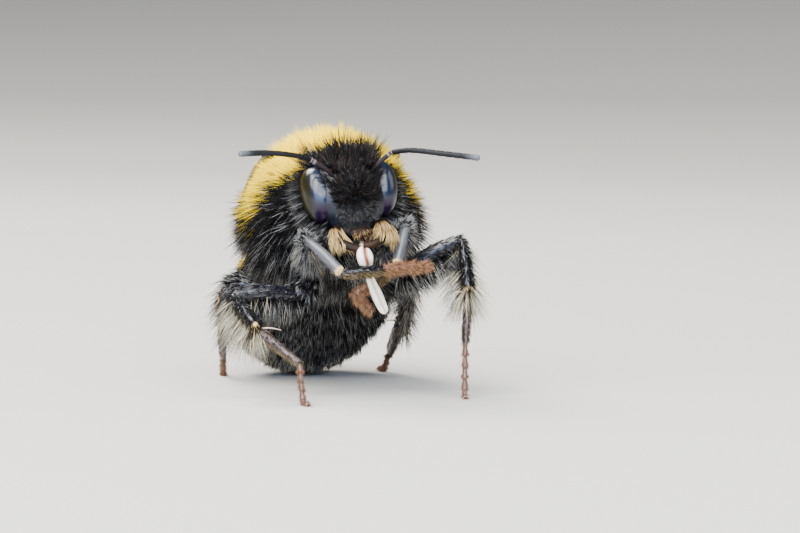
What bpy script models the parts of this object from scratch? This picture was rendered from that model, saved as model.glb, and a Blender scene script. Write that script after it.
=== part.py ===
"""A queen bumblebee, life size, as a still standing model.

Frame: +Z up, the bee faces -Y and its right side is at -X. The origin is on the floor, in the
middle of the model's box. Sizes are in millimetres and in degrees; loft() turns them into metres.

Every solid is a loft: a row of closed rings joined side by side. The solids reach out to the tips
of the coat. Neighbours that would share space are parted by thin cuts, GAP wide.
"""

import math

import bmesh
import bpy
import numpy as np

MM = 0.001
GAP = 0.06  # clearance left between two neighbouring pieces
TRUNK_SIDES = 22  # facets round the thorax, the abdomen and the head

# Stance
THORAX_HEIGHT = 10.1  # middle of the thorax above the floor
BODY_PITCH = 34.0  # the thorax leans back, head up
HEAD_FORWARD = 4.75  # middle of the head from the middle of the thorax, along the body
HEAD_BELOW = 1.65
HEAD_PITCH = 21.0  # degrees that the face looks up
HEAD_ROLL = 5.0  # the crown leans towards the bee's right

# Thorax, out to the tips of the coat
THORAX_HALF_WIDTH = 5.0
THORAX_HALF_LENGTH = 4.6
THORAX_HALF_HEIGHT = 4.85
THORAX_BELLY_SHARE = 0.9  # the underside is flatter than the back
COLLAR_SWELL = 0.05
SCUTELLUM_SWELL = 0.06

# Abdomen
WAIST_BACK = 3.9
WAIST_BELOW = 0.95
ABDOMEN_LENGTH = 10.0
ABDOMEN_HALF_WIDTH = 4.85
ABDOMEN_HALF_HEIGHT = 4.0
ABDOMEN_WIDEST = 0.43  # share of the length at which it is widest
ABDOMEN_WAIST_SHARE = 0.38  # radius at the waist, as a share of the widest
ABDOMEN_DROOP = 0.6  # the rear half bends down from the line of the thorax
ABDOMEN_BREAKS = (0.0, 0.17, 0.34, 0.52, 0.69, 0.84, 1.0)
ABDOMEN_BAND_SWELL = 0.025  # each band of hair stands a little proud in its middle

# Head, from the back of the ruff to the face: how far out of the head's middle each section is,
# its half width, and how far it reaches above and below
HEAD_SECTIONS = (
    (-2.05, 1.5, 1.5, 1.3),
    (-1.85, 2.45, 2.3, 2.0),
    (-1.45, 2.95, 2.75, 2.5),
    (-1.0, 3.0, 2.9, 2.65),
    (-0.6, 2.62, 2.85, 2.65),
    (-0.1, 2.42, 2.65, 2.65),
    (0.45, 2.2, 2.35, 2.65),
    (0.9, 1.9, 2.0, 2.6),
    (1.3, 1.42, 1.5, 2.3),
    (1.55, 0.8, 0.85, 1.6),
)
FACE_FRONT = (0.0, -0.35, 1.68)
CLYPEUS_SWELL = 0.15  # the lower face bulges forward
JOWL_TAPER = 0.3  # and is narrower than a half oval
EYE_CENTRE = (2.1, 0.02, 0.0)
EYE_HALF_WIDTH = 0.58
EYE_HALF_LENGTH = 1.56
EYE_HALF_DEPTH = 0.86
EYE_LEAN = 2.0  # the eyes draw together towards the jaws

# Mouth, in the head's own axes: across, up, out
LABRUM_TOP = (0.0, -2.5, 1.05)
LABRUM_TIP = (0.0, -3.1, 1.1)
LABRUM_HALF = (0.85, 0.3)  # half breadth and half thickness
MANDIBLE_PATH = ((1.12, -2.1, 0.75), (1.45, -2.8, 1.0), (1.4, -3.6, 1.15), (0.85, -4.0, 1.2))
MANDIBLE_HALF = (0.52, 0.34)
TONGUE_PATH = (
    (0.15, -3.15, 0.75), (-0.1, -3.9, 1.45), (-0.1, -4.5, 1.5), (0.2, -5.2, 0.6),
    (0.7, -6.4, -0.1), (0.98, -7.05, -0.35),
)
TONGUE_HALF = (0.42, 0.34)

# Feelers, in the head's own axes. The left one droops.
SCAPE_PATH = ((0.75, 0.15, 1.15), (1.55, 1.0, 1.6), (2.2, 1.42, 1.78))
FLAGELLUM_PATHS = {
    "left": ((2.35, 1.5, 1.82), (3.3, 1.28, 2.45), (4.9, 0.66, 3.2), (6.62, 0.01, 3.9)),
    "right": ((2.35, 1.5, 1.82), (3.3, 1.66, 2.35), (4.9, 1.68, 3.15), (6.7, 1.51, 4.0)),
}
FEELER_RADIUS = 0.25

# Wings, along the body axes: across, forward, up
WING_THICKNESS = 0.5
WING_ROOT = (3.95, 1.0, 2.9)
FOREWING_LENGTH = 14.63
FOREWING_CHORD = 4.3
HINDWING_LENGTH = 10.6
HINDWING_CHORD = 2.9
HINDWING_DROP = 0.68  # the hind wing lies under the fore wing
HINDWING_INSET = 0.75
WING_ROOF_ANGLE = 38.0  # the rear edges meet over the back like a ridge
WING_RISE = 1.5  # the tips rise a little from the line of the thorax, degrees
WING_BOW = 0.75  # the blade bows outwards past the side of the thorax
WING_CLOSE = 1.2  # and its tip draws in towards the ridge
WING_TIP_START = 0.72  # share of the length from which the tip is round
WING_FULL_WIDTH = 0.62  # share of the length at which the blade is widest
TEGULA_HALF = (0.55, 0.32)  # half breadth and half thickness

# Legs. Each joint is a point: across, along and above the floor.
JOINTS = ("hip", "trochanter", "knee", "tibia_end", "basitarsus_end", "ankle", "toe")
LEG_PATHS = {
    "fore_right": (
        (-1.2, -3.3, 8.6), (-1.9, -4.0, 7.6), (-2.84, -6.6, 8.95), (-1.19, -8.3, 7.15),
        (0.97, -8.6, 7.3), (2.4, -8.3, 7.4), (3.8, -8.0, 7.4),
    ),
    "fore_left": (
        (1.2, -3.3, 8.6), (1.9, -4.0, 7.7), (2.96, -6.2, 9.6), (2.15, -7.3, 7.5),
        (1.15, -6.5, 6.38), (0.2, -6.1, 5.9), (0.92, -6.2, 4.95),
    ),
    "mid_right": (
        (-1.4, -2.4, 6.7), (-2.7, -3.5, 5.5), (-6.5, -4.4, 5.65), (-5.54, -6.4, 3.97),
        (-3.45, -8.0, 2.25), (-3.35, -8.5, 0.2), (-3.2, -9.45, 0.1),
    ),
    "mid_left": (
        (1.6, -2.4, 6.8), (3.2, -3.4, 6.5), (6.45, -4.6, 8.6), (6.6, -5.6, 5.75),
        (6.25, -6.4, 2.9), (6.1, -6.85, 0.2), (6.0, -7.8, 0.1),
    ),
    "hind_right": (
        (-1.5, 0.2, 6.1), (-2.5, 0.9, 5.1), (-5.4, 2.2, 6.0), (-5.3, 5.6, 3.2),
        (-4.9, 7.4, 1.2), (-4.75, 8.2, 0.24), (-4.55, 9.3, 0.1),
    ),
    "hind_left": (
        (1.5, 0.2, 6.1), (2.5, 0.9, 5.1), (5.4, 2.4, 6.1), (5.4, 5.8, 3.2),
        (5.1, 7.6, 1.2), (5.0, 8.4, 0.24), (4.9, 9.5, 0.1),
    ),
}
# Half breadth and half thickness of each length of leg
LEG_SECTIONS = {
    "fore": {"hip": (0.6, 0.55), "femur": (0.52, 0.42), "tibia": (0.38, 0.33),
             "basitarsus": (0.3, 0.27), "tarsus": (0.27, 0.26)},
    "mid": {"hip": (0.65, 0.6), "femur": (0.72, 0.55), "tibia": (0.72, 0.48),
            "basitarsus": (0.42, 0.3), "tarsus": (0.28, 0.27)},
    "hind": {"hip": (0.7, 0.62), "femur": (0.72, 0.52), "tibia": (1.15, 0.46),
             "basitarsus": (0.78, 0.34), "tarsus": (0.3, 0.28)},
}

COLOURS = {
    "coat_black": ((0.012, 0.011, 0.012), 0.75),
    "coat_yellow": ((0.85, 0.6, 0.06), 0.75),
    "coat_white": ((0.85, 0.82, 0.74), 0.75),
    "shell_black": ((0.018, 0.018, 0.02), 0.3),
    "eye": ((0.035, 0.03, 0.012), 0.12),
    "wing": ((0.36, 0.3, 0.22), 0.3),
    "jaw_amber": ((0.62, 0.38, 0.12), 0.45),
    "tongue": ((0.8, 0.72, 0.58), 0.4),
    "foot_brown": ((0.3, 0.12, 0.05), 0.5),
}


def clear_scene():
    for item in list(bpy.data.objects):
        bpy.data.objects.remove(item)


def material(name):
    """The shared Principled material of that name."""
    found = bpy.data.materials.get(name)
    if found:
        return found
    colour, roughness = COLOURS[name]
    made = bpy.data.materials.new(name)
    made.use_nodes = True
    shader = made.node_tree.nodes["Principled BSDF"]
    shader.inputs["Base Color"].default_value = (*colour, 1.0)
    shader.inputs["Roughness"].default_value = roughness
    shader.inputs["Metallic"].default_value = 0.0
    return made


# Axes

def turned(vector, axis, degrees):
    """The vector turned about a unit axis by the right-hand rule."""
    angle = math.radians(degrees)
    vector, axis = np.array(vector, float), np.array(axis, float)
    return (vector * math.cos(angle) + np.cross(axis, vector) * math.sin(angle)
            + axis * (axis @ vector) * (1 - math.cos(angle)))


def unit(vector):
    return np.array(vector, float) / np.linalg.norm(vector)


LATERAL = np.array((1.0, 0.0, 0.0))
FORWARD = turned((0, -1, 0), (-1, 0, 0), BODY_PITCH)
UPWARD = np.cross(FORWARD, LATERAL)
THORAX_CENTRE = np.array((0.0, 0.0, THORAX_HEIGHT))


def in_body(across, forward, up):
    """A point given along the body's axes, from the middle of the thorax."""
    return THORAX_CENTRE + across * LATERAL + forward * FORWARD + up * UPWARD


# The head's own axes: across to the bee's left, up the face, and out of the face
HEAD_OUT = turned((0, -1, 0), (-1, 0, 0), HEAD_PITCH)
HEAD_ACROSS = turned(LATERAL, HEAD_OUT, HEAD_ROLL)
HEAD_UP = np.cross(HEAD_OUT, HEAD_ACROSS)
HEAD_CENTRE = in_body(0, HEAD_FORWARD, -HEAD_BELOW)


def in_head(across, up, out):
    return HEAD_CENTRE + across * HEAD_ACROSS + up * HEAD_UP + out * HEAD_OUT


# Lofts

def loft(name, rings, start, end, colour):
    """A closed solid through rings of points, with a fan to a point at each end."""
    rings = np.array(rings, float)
    count, sides = rings.shape[:2]
    points = [*rings.reshape(-1, 3), np.array(start, float), np.array(end, float)]
    faces = []
    for row in range(count - 1):
        for side in range(sides):
            after = (side + 1) % sides
            faces.append((row * sides + side, row * sides + after,
                          (row + 1) * sides + after, (row + 1) * sides + side))
    first, last = count * sides, count * sides + 1
    for side in range(sides):
        after = (side + 1) % sides
        faces.append((first, after, side))
        faces.append((last, (count - 1) * sides + side, (count - 1) * sides + after))
    mesh = bpy.data.meshes.new(name)
    mesh.from_pydata([tuple(p * MM) for p in points], [], faces)
    shaped = bmesh.new()
    shaped.from_mesh(mesh)
    bmesh.ops.triangulate(shaped, faces=shaped.faces)
    if shaped.calc_volume(signed=True) < 0:
        bmesh.ops.reverse_faces(shaped, faces=shaped.faces)
    shaped.to_mesh(mesh)
    shaped.free()
    mesh.shade_smooth()
    mesh.materials.append(material(colour))
    made = bpy.data.objects.new(name, mesh)
    bpy.context.scene.collection.objects.link(made)
    return made


def oval(centre, broad, thin, half_broad, half_thin, sides, phase=0.0):
    """A ring of points on an ellipse."""
    turns = phase + np.arange(sides) * 2 * math.pi / sides
    return (np.array(centre) + np.outer(np.cos(turns) * half_broad, broad)
            + np.outer(np.sin(turns) * half_thin, thin))


def smooth_path(points, count):
    """Points spaced evenly along a smooth curve through the given ones (Catmull-Rom)."""
    points = np.array(points, float)
    padded = np.vstack((2 * points[0] - points[1], points, 2 * points[-1] - points[-2]))
    fine = []
    for k in range(len(points) - 1):
        a, b, c, d = padded[k:k + 4]
        for t in np.linspace(0, 1, 24, endpoint=False):
            fine.append(0.5 * (2 * b + (c - a) * t + (2 * a - 5 * b + 4 * c - d) * t ** 2
                               + (3 * b - a - 3 * c + d) * t ** 3))
    fine = np.array([*fine, points[-1]])
    along = np.concatenate(([0], np.cumsum(np.linalg.norm(np.diff(fine, axis=0), axis=1))))
    even = np.linspace(0, along[-1], count)
    return np.stack([np.interp(even, along, fine[:, k]) for k in range(3)], axis=1)


def rounded(share, cap):
    """Radius share along a length whose ends are round over the first and last `cap` of it."""
    near = min(share, 1 - share)
    return 1.0 if near >= cap else math.sqrt(max(0.0, 1 - (1 - near / cap) ** 2))


def limb(name, path, half_broad, half_thin, thin_way, colour, sides=7, shape=None, floor=None):
    """A loft along a path with round ends. shape(share) scales the section along the way; floor
    flattens whatever would reach below that height."""
    path = np.array(path, float)
    length = np.linalg.norm(np.diff(path, axis=0), axis=1).sum()
    cap = min(0.45, max(half_broad, half_thin) * 0.8 / length)
    ends = np.array((0.14, 0.5)) * cap
    shares = np.concatenate((ends, np.linspace(cap, 1 - cap, len(path)), 1 - ends[::-1]))
    along = np.linspace(0, 1, len(path))
    at = [np.array([np.interp(s, along, path[:, k]) for k in range(3)]) for s in shares]
    rings = []
    for k, share in enumerate(shares):
        before, after = at[max(0, k - 1)], at[min(len(at) - 1, k + 1)]
        direction = unit(after - before)
        thin = unit(np.array(thin_way) - direction * (direction @ np.array(thin_way)))
        broad = np.cross(direction, thin)
        size = rounded(share, cap) * (shape(share) if shape else 1.0)
        rings.append(oval(at[k], broad, thin, half_broad * size, half_thin * size, sides,
                          math.pi / sides))
    rings = np.array(rings)
    start, end = path[0].copy(), path[-1].copy()
    if floor is not None:
        rings[:, :, 2] = np.maximum(rings[:, :, 2], floor)
    return loft(name, rings, start, end, colour)


# Parting

def inflated(piece, gap):
    """A hidden copy of a piece, grown by the gap, to cut its neighbours with."""
    name = "cutter_" + piece.name
    made = bpy.data.objects.get(name)
    if made:
        return made
    mesh = piece.data.copy()
    shaped = bmesh.new()
    shaped.from_mesh(mesh)
    shaped.normal_update()
    for vertex in shaped.verts:
        vertex.co += vertex.normal * gap * MM
    shaped.to_mesh(mesh)
    shaped.free()
    made = bpy.data.objects.new(name, mesh)
    bpy.context.scene.collection.objects.link(made)
    made.hide_render = True
    made.display_type = "WIRE"
    return made


def part_from(piece, *neighbours):
    """Cuts the neighbours' shapes, and a thin gap round them, out of the piece."""
    for neighbour in neighbours:
        cut = piece.modifiers.new("from_" + neighbour.name, "BOOLEAN")
        cut.operation = "DIFFERENCE"
        cut.solver = "EXACT"
        cut.object = inflated(neighbour, GAP)


# Trunk

def bump(value, middle, width):
    return math.exp(-((value - middle) / width) ** 2)


def make_thorax():
    """A rounded barrel, fuller at the collar in front and over the scutellum behind."""
    rings = []
    for turn in np.linspace(0, math.pi, 16)[1:-1]:
        forward = THORAX_HALF_LENGTH * math.cos(turn)
        girth = math.sin(turn) ** 0.88
        ring = []
        for angle in np.arange(TRUNK_SIDES) * 2 * math.pi / TRUNK_SIDES:
            across, up = math.cos(angle), math.sin(angle)
            back = max(0.0, up)
            swell = 1 + back * (COLLAR_SWELL * bump(turn, 0.9, 0.5)
                                + SCUTELLUM_SWELL * bump(turn, 2.3, 0.4))
            height = THORAX_HALF_HEIGHT * (1 if up > 0 else THORAX_BELLY_SHARE)
            ring.append(in_body(THORAX_HALF_WIDTH * across * girth * swell, forward,
                                height * up * girth * swell))
        rings.append(ring)
    return loft("thorax", rings, in_body(0, THORAX_HALF_LENGTH, 0),
                in_body(0, -THORAX_HALF_LENGTH, 0), "coat_black")


def abdomen_girth(share):
    """Radius along the abdomen, as a share of the widest: a blunt front and a drawn-out tail."""
    if share < ABDOMEN_WIDEST:
        lack = 1 - ABDOMEN_WAIST_SHARE ** 2
        return math.sqrt(1 - lack * ((ABDOMEN_WIDEST - share) / ABDOMEN_WIDEST) ** 2)
    return (1 - ((share - ABDOMEN_WIDEST) / (1 - ABDOMEN_WIDEST)) ** 2.3) ** 0.6


def abdomen_ring(share):
    """The cross-section at this share of the length, on an axis that bends down a little."""
    waist = in_body(0, -WAIST_BACK, -WAIST_BELOW)
    middle = turned(-FORWARD, LATERAL, -ABDOMEN_DROOP * share)
    here = turned(-FORWARD, LATERAL, -2 * ABDOMEN_DROOP * share)
    up = np.cross(here, LATERAL)
    up = up if up[2] > 0 else -up
    band = np.searchsorted(ABDOMEN_BREAKS, share, side="right") - 1
    band = min(band, len(ABDOMEN_BREAKS) - 2)
    low, high = ABDOMEN_BREAKS[band], ABDOMEN_BREAKS[band + 1]
    swell = 1 + ABDOMEN_BAND_SWELL * math.sin(math.pi * (share - low) / (high - low))
    girth = abdomen_girth(share) * swell
    return oval(waist + middle * ABDOMEN_LENGTH * share, LATERAL, up,
                ABDOMEN_HALF_WIDTH * girth, ABDOMEN_HALF_HEIGHT * girth, TRUNK_SIDES)


def make_abdomen():
    """Six bands from the waist to the tail, with a thin cut between each two."""
    colours = ("coat_black", "coat_yellow", "coat_black", "coat_white", "coat_white", "coat_white")
    half_cut = GAP / 2 / ABDOMEN_LENGTH
    bands = []
    for k, colour in enumerate(colours):
        low = ABDOMEN_BREAKS[k] + half_cut
        high = ABDOMEN_BREAKS[k + 1] - half_cut
        last = k == len(colours) - 1
        shares = low + (high - low) * (np.sin(np.linspace(0, math.pi / 2, 6))[:-1] if last
                                       else np.linspace(0, 1, 4))
        rings = [abdomen_ring(share) for share in shares]
        tail = abdomen_ring(1 - 1e-6).mean(axis=0)
        end = tail if last else rings[-1].mean(axis=0)
        bands.append(loft(f"abdomen_{k + 1}", rings, rings[0].mean(axis=0), end, colour))
    return bands


# Head

def make_head():
    """A face disc with a ruff of longer hair behind the eyes and a clypeus bulging below."""
    rings = []
    for out, half_width, above, below in HEAD_SECTIONS:
        ring = []
        for angle in np.arange(TRUNK_SIDES) * 2 * math.pi / TRUNK_SIDES:
            across, up = math.cos(angle), math.sin(angle)
            low = max(0.0, -up)
            narrow = 1 - JOWL_TAPER * low * abs(across)
            clypeus = CLYPEUS_SWELL * low * max(0.0, 1 - abs(across) * 1.6) * (out > 0)
            height = above if up > 0 else below
            ring.append(in_head(half_width * across * narrow, height * up, out + clypeus))
        rings.append(ring)
    back = in_head(0, 0, HEAD_SECTIONS[0][0] - 0.05)
    return loft("head", rings, back, in_head(*FACE_FRONT), "coat_black")


def make_eye(side, name):
    """A long oval dome, a little fuller above."""
    centre = in_head(side * EYE_CENTRE[0], EYE_CENTRE[1], EYE_CENTRE[2])
    up = turned(HEAD_UP, HEAD_OUT, -side * EYE_LEAN)
    out = HEAD_OUT
    across = np.cross(up, out)
    rings = []
    for turn in np.linspace(0, math.pi, 11)[1:-1]:
        girth = math.sin(turn) ** 0.8 * (1 + 0.06 * math.cos(turn))
        rings.append(oval(centre + up * EYE_HALF_LENGTH * math.cos(turn), across, out,
                          EYE_HALF_WIDTH * girth, EYE_HALF_DEPTH * girth, 12))
    return loft(name, rings, centre + up * EYE_HALF_LENGTH, centre - up * EYE_HALF_LENGTH, "eye")


def make_mouth():
    """The upper lip, the two jaws with their fringes, and the sheathed tongue."""
    lip_path = [in_head(*LABRUM_TOP), in_head(*LABRUM_TIP)]
    lip = limb("labrum", smooth_path(lip_path, 3), *LABRUM_HALF, HEAD_OUT, "jaw_amber", sides=10)
    jaws = []
    for side, name in ((1, "mandible_left"), (-1, "mandible_right")):
        path = smooth_path([in_head(side * x, y, z) for x, y, z in MANDIBLE_PATH], 5)
        jaws.append(limb(name, path, *MANDIBLE_HALF, HEAD_OUT, "jaw_amber", sides=9,
                         shape=lambda share: 0.85 + 0.45 * math.sin(math.pi * share) - 0.25 * share))

    def tongue_shape(share):
        return 0.76 + 0.5 * bump(share, 0.24, 0.12)

    path = smooth_path([in_head(*point) for point in TONGUE_PATH], 11)
    tongue = limb("proboscis", path, *TONGUE_HALF, (0, 1, 0), "tongue", sides=8, shape=tongue_shape)
    return lip, jaws, tongue


def make_feeler(side, name):
    """A scape up from the face and a long flagellum bent out from its end."""
    scape_path = smooth_path([in_head(side * x, y, z) for x, y, z in SCAPE_PATH], 4)
    scape = limb(f"scape_{name}", scape_path, FEELER_RADIUS, FEELER_RADIUS, HEAD_UP,
                 "shell_black")
    path = smooth_path([in_head(side * x, y, z) for x, y, z in FLAGELLUM_PATHS[name]], 12)
    flagellum = limb(f"flagellum_{name}", path, FEELER_RADIUS, FEELER_RADIUS, HEAD_UP,
                     "shell_black")
    part_from(flagellum, scape)
    return scape, flagellum


# Wings

def wing_axes(side):
    """Along the wing to its tip, across it to its rear edge, and up off its face."""
    span = turned(-FORWARD, LATERAL, WING_RISE)
    roof = math.radians(WING_ROOF_ANGLE)
    rear = -side * LATERAL * math.cos(roof) + np.cross(LATERAL, span) * math.sin(roof)
    return span, rear, np.cross(span, rear) * side


def wing_edges(share, chord):
    """Front and rear edge across a wing at this share of its span, for a blade that swells
    from a narrow root and ends in a round tip."""
    past = max(0.0, (share - WING_TIP_START) / (1 - WING_TIP_START))
    tip = math.sqrt(1 - past ** 2)
    front = -0.22 * math.sin(math.pi * share ** 0.8)
    swell = math.sin(min(1.0, share / WING_FULL_WIDTH) * math.pi / 2)
    rear = chord * (0.16 + 0.84 * swell) * (0.45 + 0.55 * tip)
    middle = (front + rear) / 2 * (0.75 + 0.25 * tip) + 0.1225 * chord * (1 - tip)
    half = (rear - front) / 2 * max(0.06, tip)
    return middle - half, middle + half


def make_wing(side, name, length, chord, drop, inset):
    """A flat blade of even thickness, along the back."""
    span, rear, face = wing_axes(side)
    root = in_body(side * WING_ROOT[0], WING_ROOT[1], WING_ROOT[2]) + rear * inset - face * drop
    rings = []
    shares = np.sin(np.linspace(0.04, math.pi / 2 - 0.04, 12))
    for share in shares:
        low, high = wing_edges(share, chord)
        bow = -WING_BOW * math.sin(math.pi * min(1.0, share * 1.1) ** 0.6)
        middle = root + span * length * share + rear * (bow + WING_CLOSE * share + (low + high) / 2)
        half = (high - low) / 2
        up, out = face * WING_THICKNESS / 2, rear * half
        rings.append([middle - out, middle - out * 0.86 - up, middle + out * 0.86 - up,
                      middle + out, middle + out * 0.86 + up, middle - out * 0.86 + up])
    rings = np.array(rings)
    return loft(name, rings, rings[0].mean(axis=0), rings[-1].mean(axis=0), "wing")


def make_wings():
    wings = []
    for side, word in ((1, "left"), (-1, "right")):
        wings.append(make_wing(side, f"forewing_{word}", FOREWING_LENGTH, FOREWING_CHORD, 0, 0))
        wings.append(make_wing(side, f"hindwing_{word}", HINDWING_LENGTH, HINDWING_CHORD,
                               HINDWING_DROP, HINDWING_INSET))
    return wings


def make_tegula(side, name):
    """The little shield over the root of the wings."""
    centre = in_body(side * (WING_ROOT[0] - 0.1), WING_ROOT[1] + 0.75, WING_ROOT[2] - 0.1)
    path = [centre + FORWARD * 0.75, centre, centre - FORWARD * 0.45]
    return limb(name, smooth_path(path, 3), *TEGULA_HALF, UPWARD, "shell_black", sides=8)


# Legs

def thin_way_of(start, end):
    """A leg is thinnest from front to back where it runs outwards, else from side to side."""
    return (0, 1, 0) if abs(unit(np.subtract(end, start))[0]) > 0.6 else (1, 0, 0)


def make_leg(name):
    """Five lengths, each in its own piece, from the hip to the claws."""
    pair = name.split("_")[0]
    at = dict(zip(JOINTS, LEG_PATHS[name]))
    sections = LEG_SECTIONS[pair]
    standing = pair != "fore"
    shapes = {
        "hip": lambda s: 1.0,
        "femur": lambda s: 0.78 + 0.3 * math.sin(math.pi * s ** 0.8),
        "tibia": lambda s: 0.62 + 0.42 * s,
        "basitarsus": lambda s: 0.9 + 0.14 * math.sin(math.pi * s),
        "tarsus": lambda s: 0.96 + 0.06 * math.cos(8 * math.pi * s),
    }
    routes = {
        "hip": (at["hip"], at["trochanter"]),
        "femur": (at["trochanter"], at["knee"]),
        "tibia": (at["knee"], at["tibia_end"]),
        "basitarsus": (at["tibia_end"], at["basitarsus_end"]),
        "tarsus": (at["basitarsus_end"], at["ankle"], at["toe"]),
    }
    colours = {"hip": "shell_black", "femur": "shell_black", "tibia": "shell_black",
               "basitarsus": "shell_black", "tarsus": "foot_brown"}
    pieces = []
    for kind, route in routes.items():
        points = smooth_path(route, 7 if kind == "tarsus" else 3)
        broad, thin = sections[kind]
        on_floor = 0.0 if standing and kind == "tarsus" else None
        piece = limb(f"{name}_{kind}", points, broad, thin, thin_way_of(route[0], route[-1]),
                     colours[kind], sides=6 if kind in ("hip", "tarsus") else 7,
                     shape=shapes[kind], floor=on_floor)
        if pieces:
            part_from(piece, pieces[-1])
        pieces.append(piece)
    return pieces


# Assembly

def centre_on_floor():
    """Moves every piece and cutter so that the origin is below the middle of the model."""
    bpy.context.view_layer.update()
    corners = []
    for item in bpy.context.scene.objects:
        if not item.hide_render:
            corners.append(np.array([v.co for v in item.data.vertices]))
    corners = np.vstack(corners)
    low, high = corners.min(axis=0), corners.max(axis=0)
    shift = (-(low[0] + high[0]) / 2, -(low[1] + high[1]) / 2, -low[2])
    for item in bpy.context.scene.objects:
        item.location = shift


def main():
    clear_scene()
    thorax = make_thorax()
    bands = make_abdomen()
    head = make_head()
    eyes = [make_eye(side, f"eye_{word}") for side, word in ((1, "left"), (-1, "right"))]
    lip, jaws, tongue = make_mouth()
    feelers = [make_feeler(side, word) for side, word in ((1, "left"), (-1, "right"))]
    wings = make_wings()
    tegulae = [make_tegula(side, f"tegula_{word}") for side, word in ((1, "left"), (-1, "right"))]
    legs = {name: make_leg(name) for name in LEG_PATHS}
    hips = [pieces[0] for pieces in legs.values()]

    part_from(head, *eyes, lip, *jaws, *[scape for scape, _ in feelers])
    part_from(thorax, head, *tegulae, *hips)
    for pieces in legs.values():
        part_from(pieces[1], thorax)
    for band in bands[:2]:
        part_from(band, thorax)
    for wing in wings:
        part_from(wing, thorax, *tegulae)
    part_from(tongue, lip, *jaws)
    for jaw in jaws:
        part_from(jaw, lip)
    centre_on_floor()


main()
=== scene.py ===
import math

import bpy
import numpy as np
from mathutils import Matrix, Vector


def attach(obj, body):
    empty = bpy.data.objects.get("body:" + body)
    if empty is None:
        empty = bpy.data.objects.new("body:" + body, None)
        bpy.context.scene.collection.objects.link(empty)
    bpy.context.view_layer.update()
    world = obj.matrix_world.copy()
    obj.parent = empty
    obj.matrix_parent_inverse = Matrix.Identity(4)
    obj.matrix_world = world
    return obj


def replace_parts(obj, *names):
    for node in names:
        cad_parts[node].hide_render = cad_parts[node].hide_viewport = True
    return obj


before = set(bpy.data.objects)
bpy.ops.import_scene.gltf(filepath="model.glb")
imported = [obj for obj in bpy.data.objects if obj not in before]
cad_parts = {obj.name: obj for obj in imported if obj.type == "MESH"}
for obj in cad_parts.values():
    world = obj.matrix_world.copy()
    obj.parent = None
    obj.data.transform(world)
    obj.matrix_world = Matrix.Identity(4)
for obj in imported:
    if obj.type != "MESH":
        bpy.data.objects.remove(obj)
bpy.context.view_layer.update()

mm = 0.001
aboveFloor = 0.01  # the lowest that anything reaches, in millimetres
rng = np.random.default_rng(11)

# How the solids stand: millimetres and degrees
stance = {
    "thorax": (-0.09, -2.314, 10.1),  # middle of the thorax
    "pitch": 34.0,  # the body leans back
    "headForward": 4.75,
    "headBelow": 1.65,
    "headPitch": 21.0,  # the face looks up
    "headRoll": 5.0,  # the crown leans to the bee's right
}


def unit(v):
    v = np.asarray(v, float)
    return v / np.maximum(np.linalg.norm(v, axis=-1, keepdims=True), 1e-12)


def turned(v, axis, degrees):  # right-hand rule about a unit axis
    a = math.radians(degrees)
    v, axis = np.array(v, float), np.array(axis, float)
    return v * math.cos(a) + np.cross(axis, v) * math.sin(a) + axis * (axis @ v) * (1 - math.cos(a))


def blendStep(x, low, high):  # 0 below low, 1 above high, smooth between
    t = np.clip((np.asarray(x, float) - low) / (high - low), 0, 1)
    return t * t * (3 - 2 * t)


def bell(x, middle, width):  # a smooth hump
    return np.exp(-((np.asarray(x, float) - middle) / width) ** 2)


# Body axes in rows: across to the bee's left, forward, up. Head axes: across, up the face, out
# of it.
sideways = np.array((1.0, 0.0, 0.0))
forward = turned((0, -1, 0), (-1, 0, 0), stance["pitch"])
upward = np.cross(forward, sideways)
bodyAxes = np.array((sideways, forward, upward))
bodyCentre = np.array(stance["thorax"])
faceOut = turned((0, -1, 0), (-1, 0, 0), stance["headPitch"])
faceAcross = turned(sideways, faceOut, stance["headRoll"])
headAxes = np.array((faceAcross, np.cross(faceOut, faceAcross), faceOut))
headCentre = bodyCentre + forward * stance["headForward"] - upward * stance["headBelow"]


def inBody(p):
    return bodyCentre + np.asarray(p, float) @ bodyAxes


def inHead(p):
    return headCentre + np.asarray(p, float) @ headAxes


def toBody(p):  # world millimetres to body axes
    return (np.asarray(p, float) - bodyCentre) @ bodyAxes.T


def toHead(p):
    return (np.asarray(p, float) - headCentre) @ headAxes.T


sides = {"left": 1, "right": -1}


def mirrored(points, side):  # the bee's left is side 1
    return np.asarray(points, float) * (side, 1, 1)


# Soft noise: a sum of sine waves in random directions
waves = unit(rng.normal(size=(14, 3))) * rng.uniform(0.6, 1.7, (14, 1))
phases = rng.uniform(0, 2 * math.pi, 14)


def ripple(p, scale):
    return np.sin(np.asarray(p, float) @ waves.T * (2 * math.pi / scale) + phases).sum(axis=-1) / 5


def someOf(count, share, low=0.5):  # strong values for a share of the hairs, none for the rest
    return (rng.uniform(0, 1, count) < share) * rng.uniform(low, 1, count)


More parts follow.
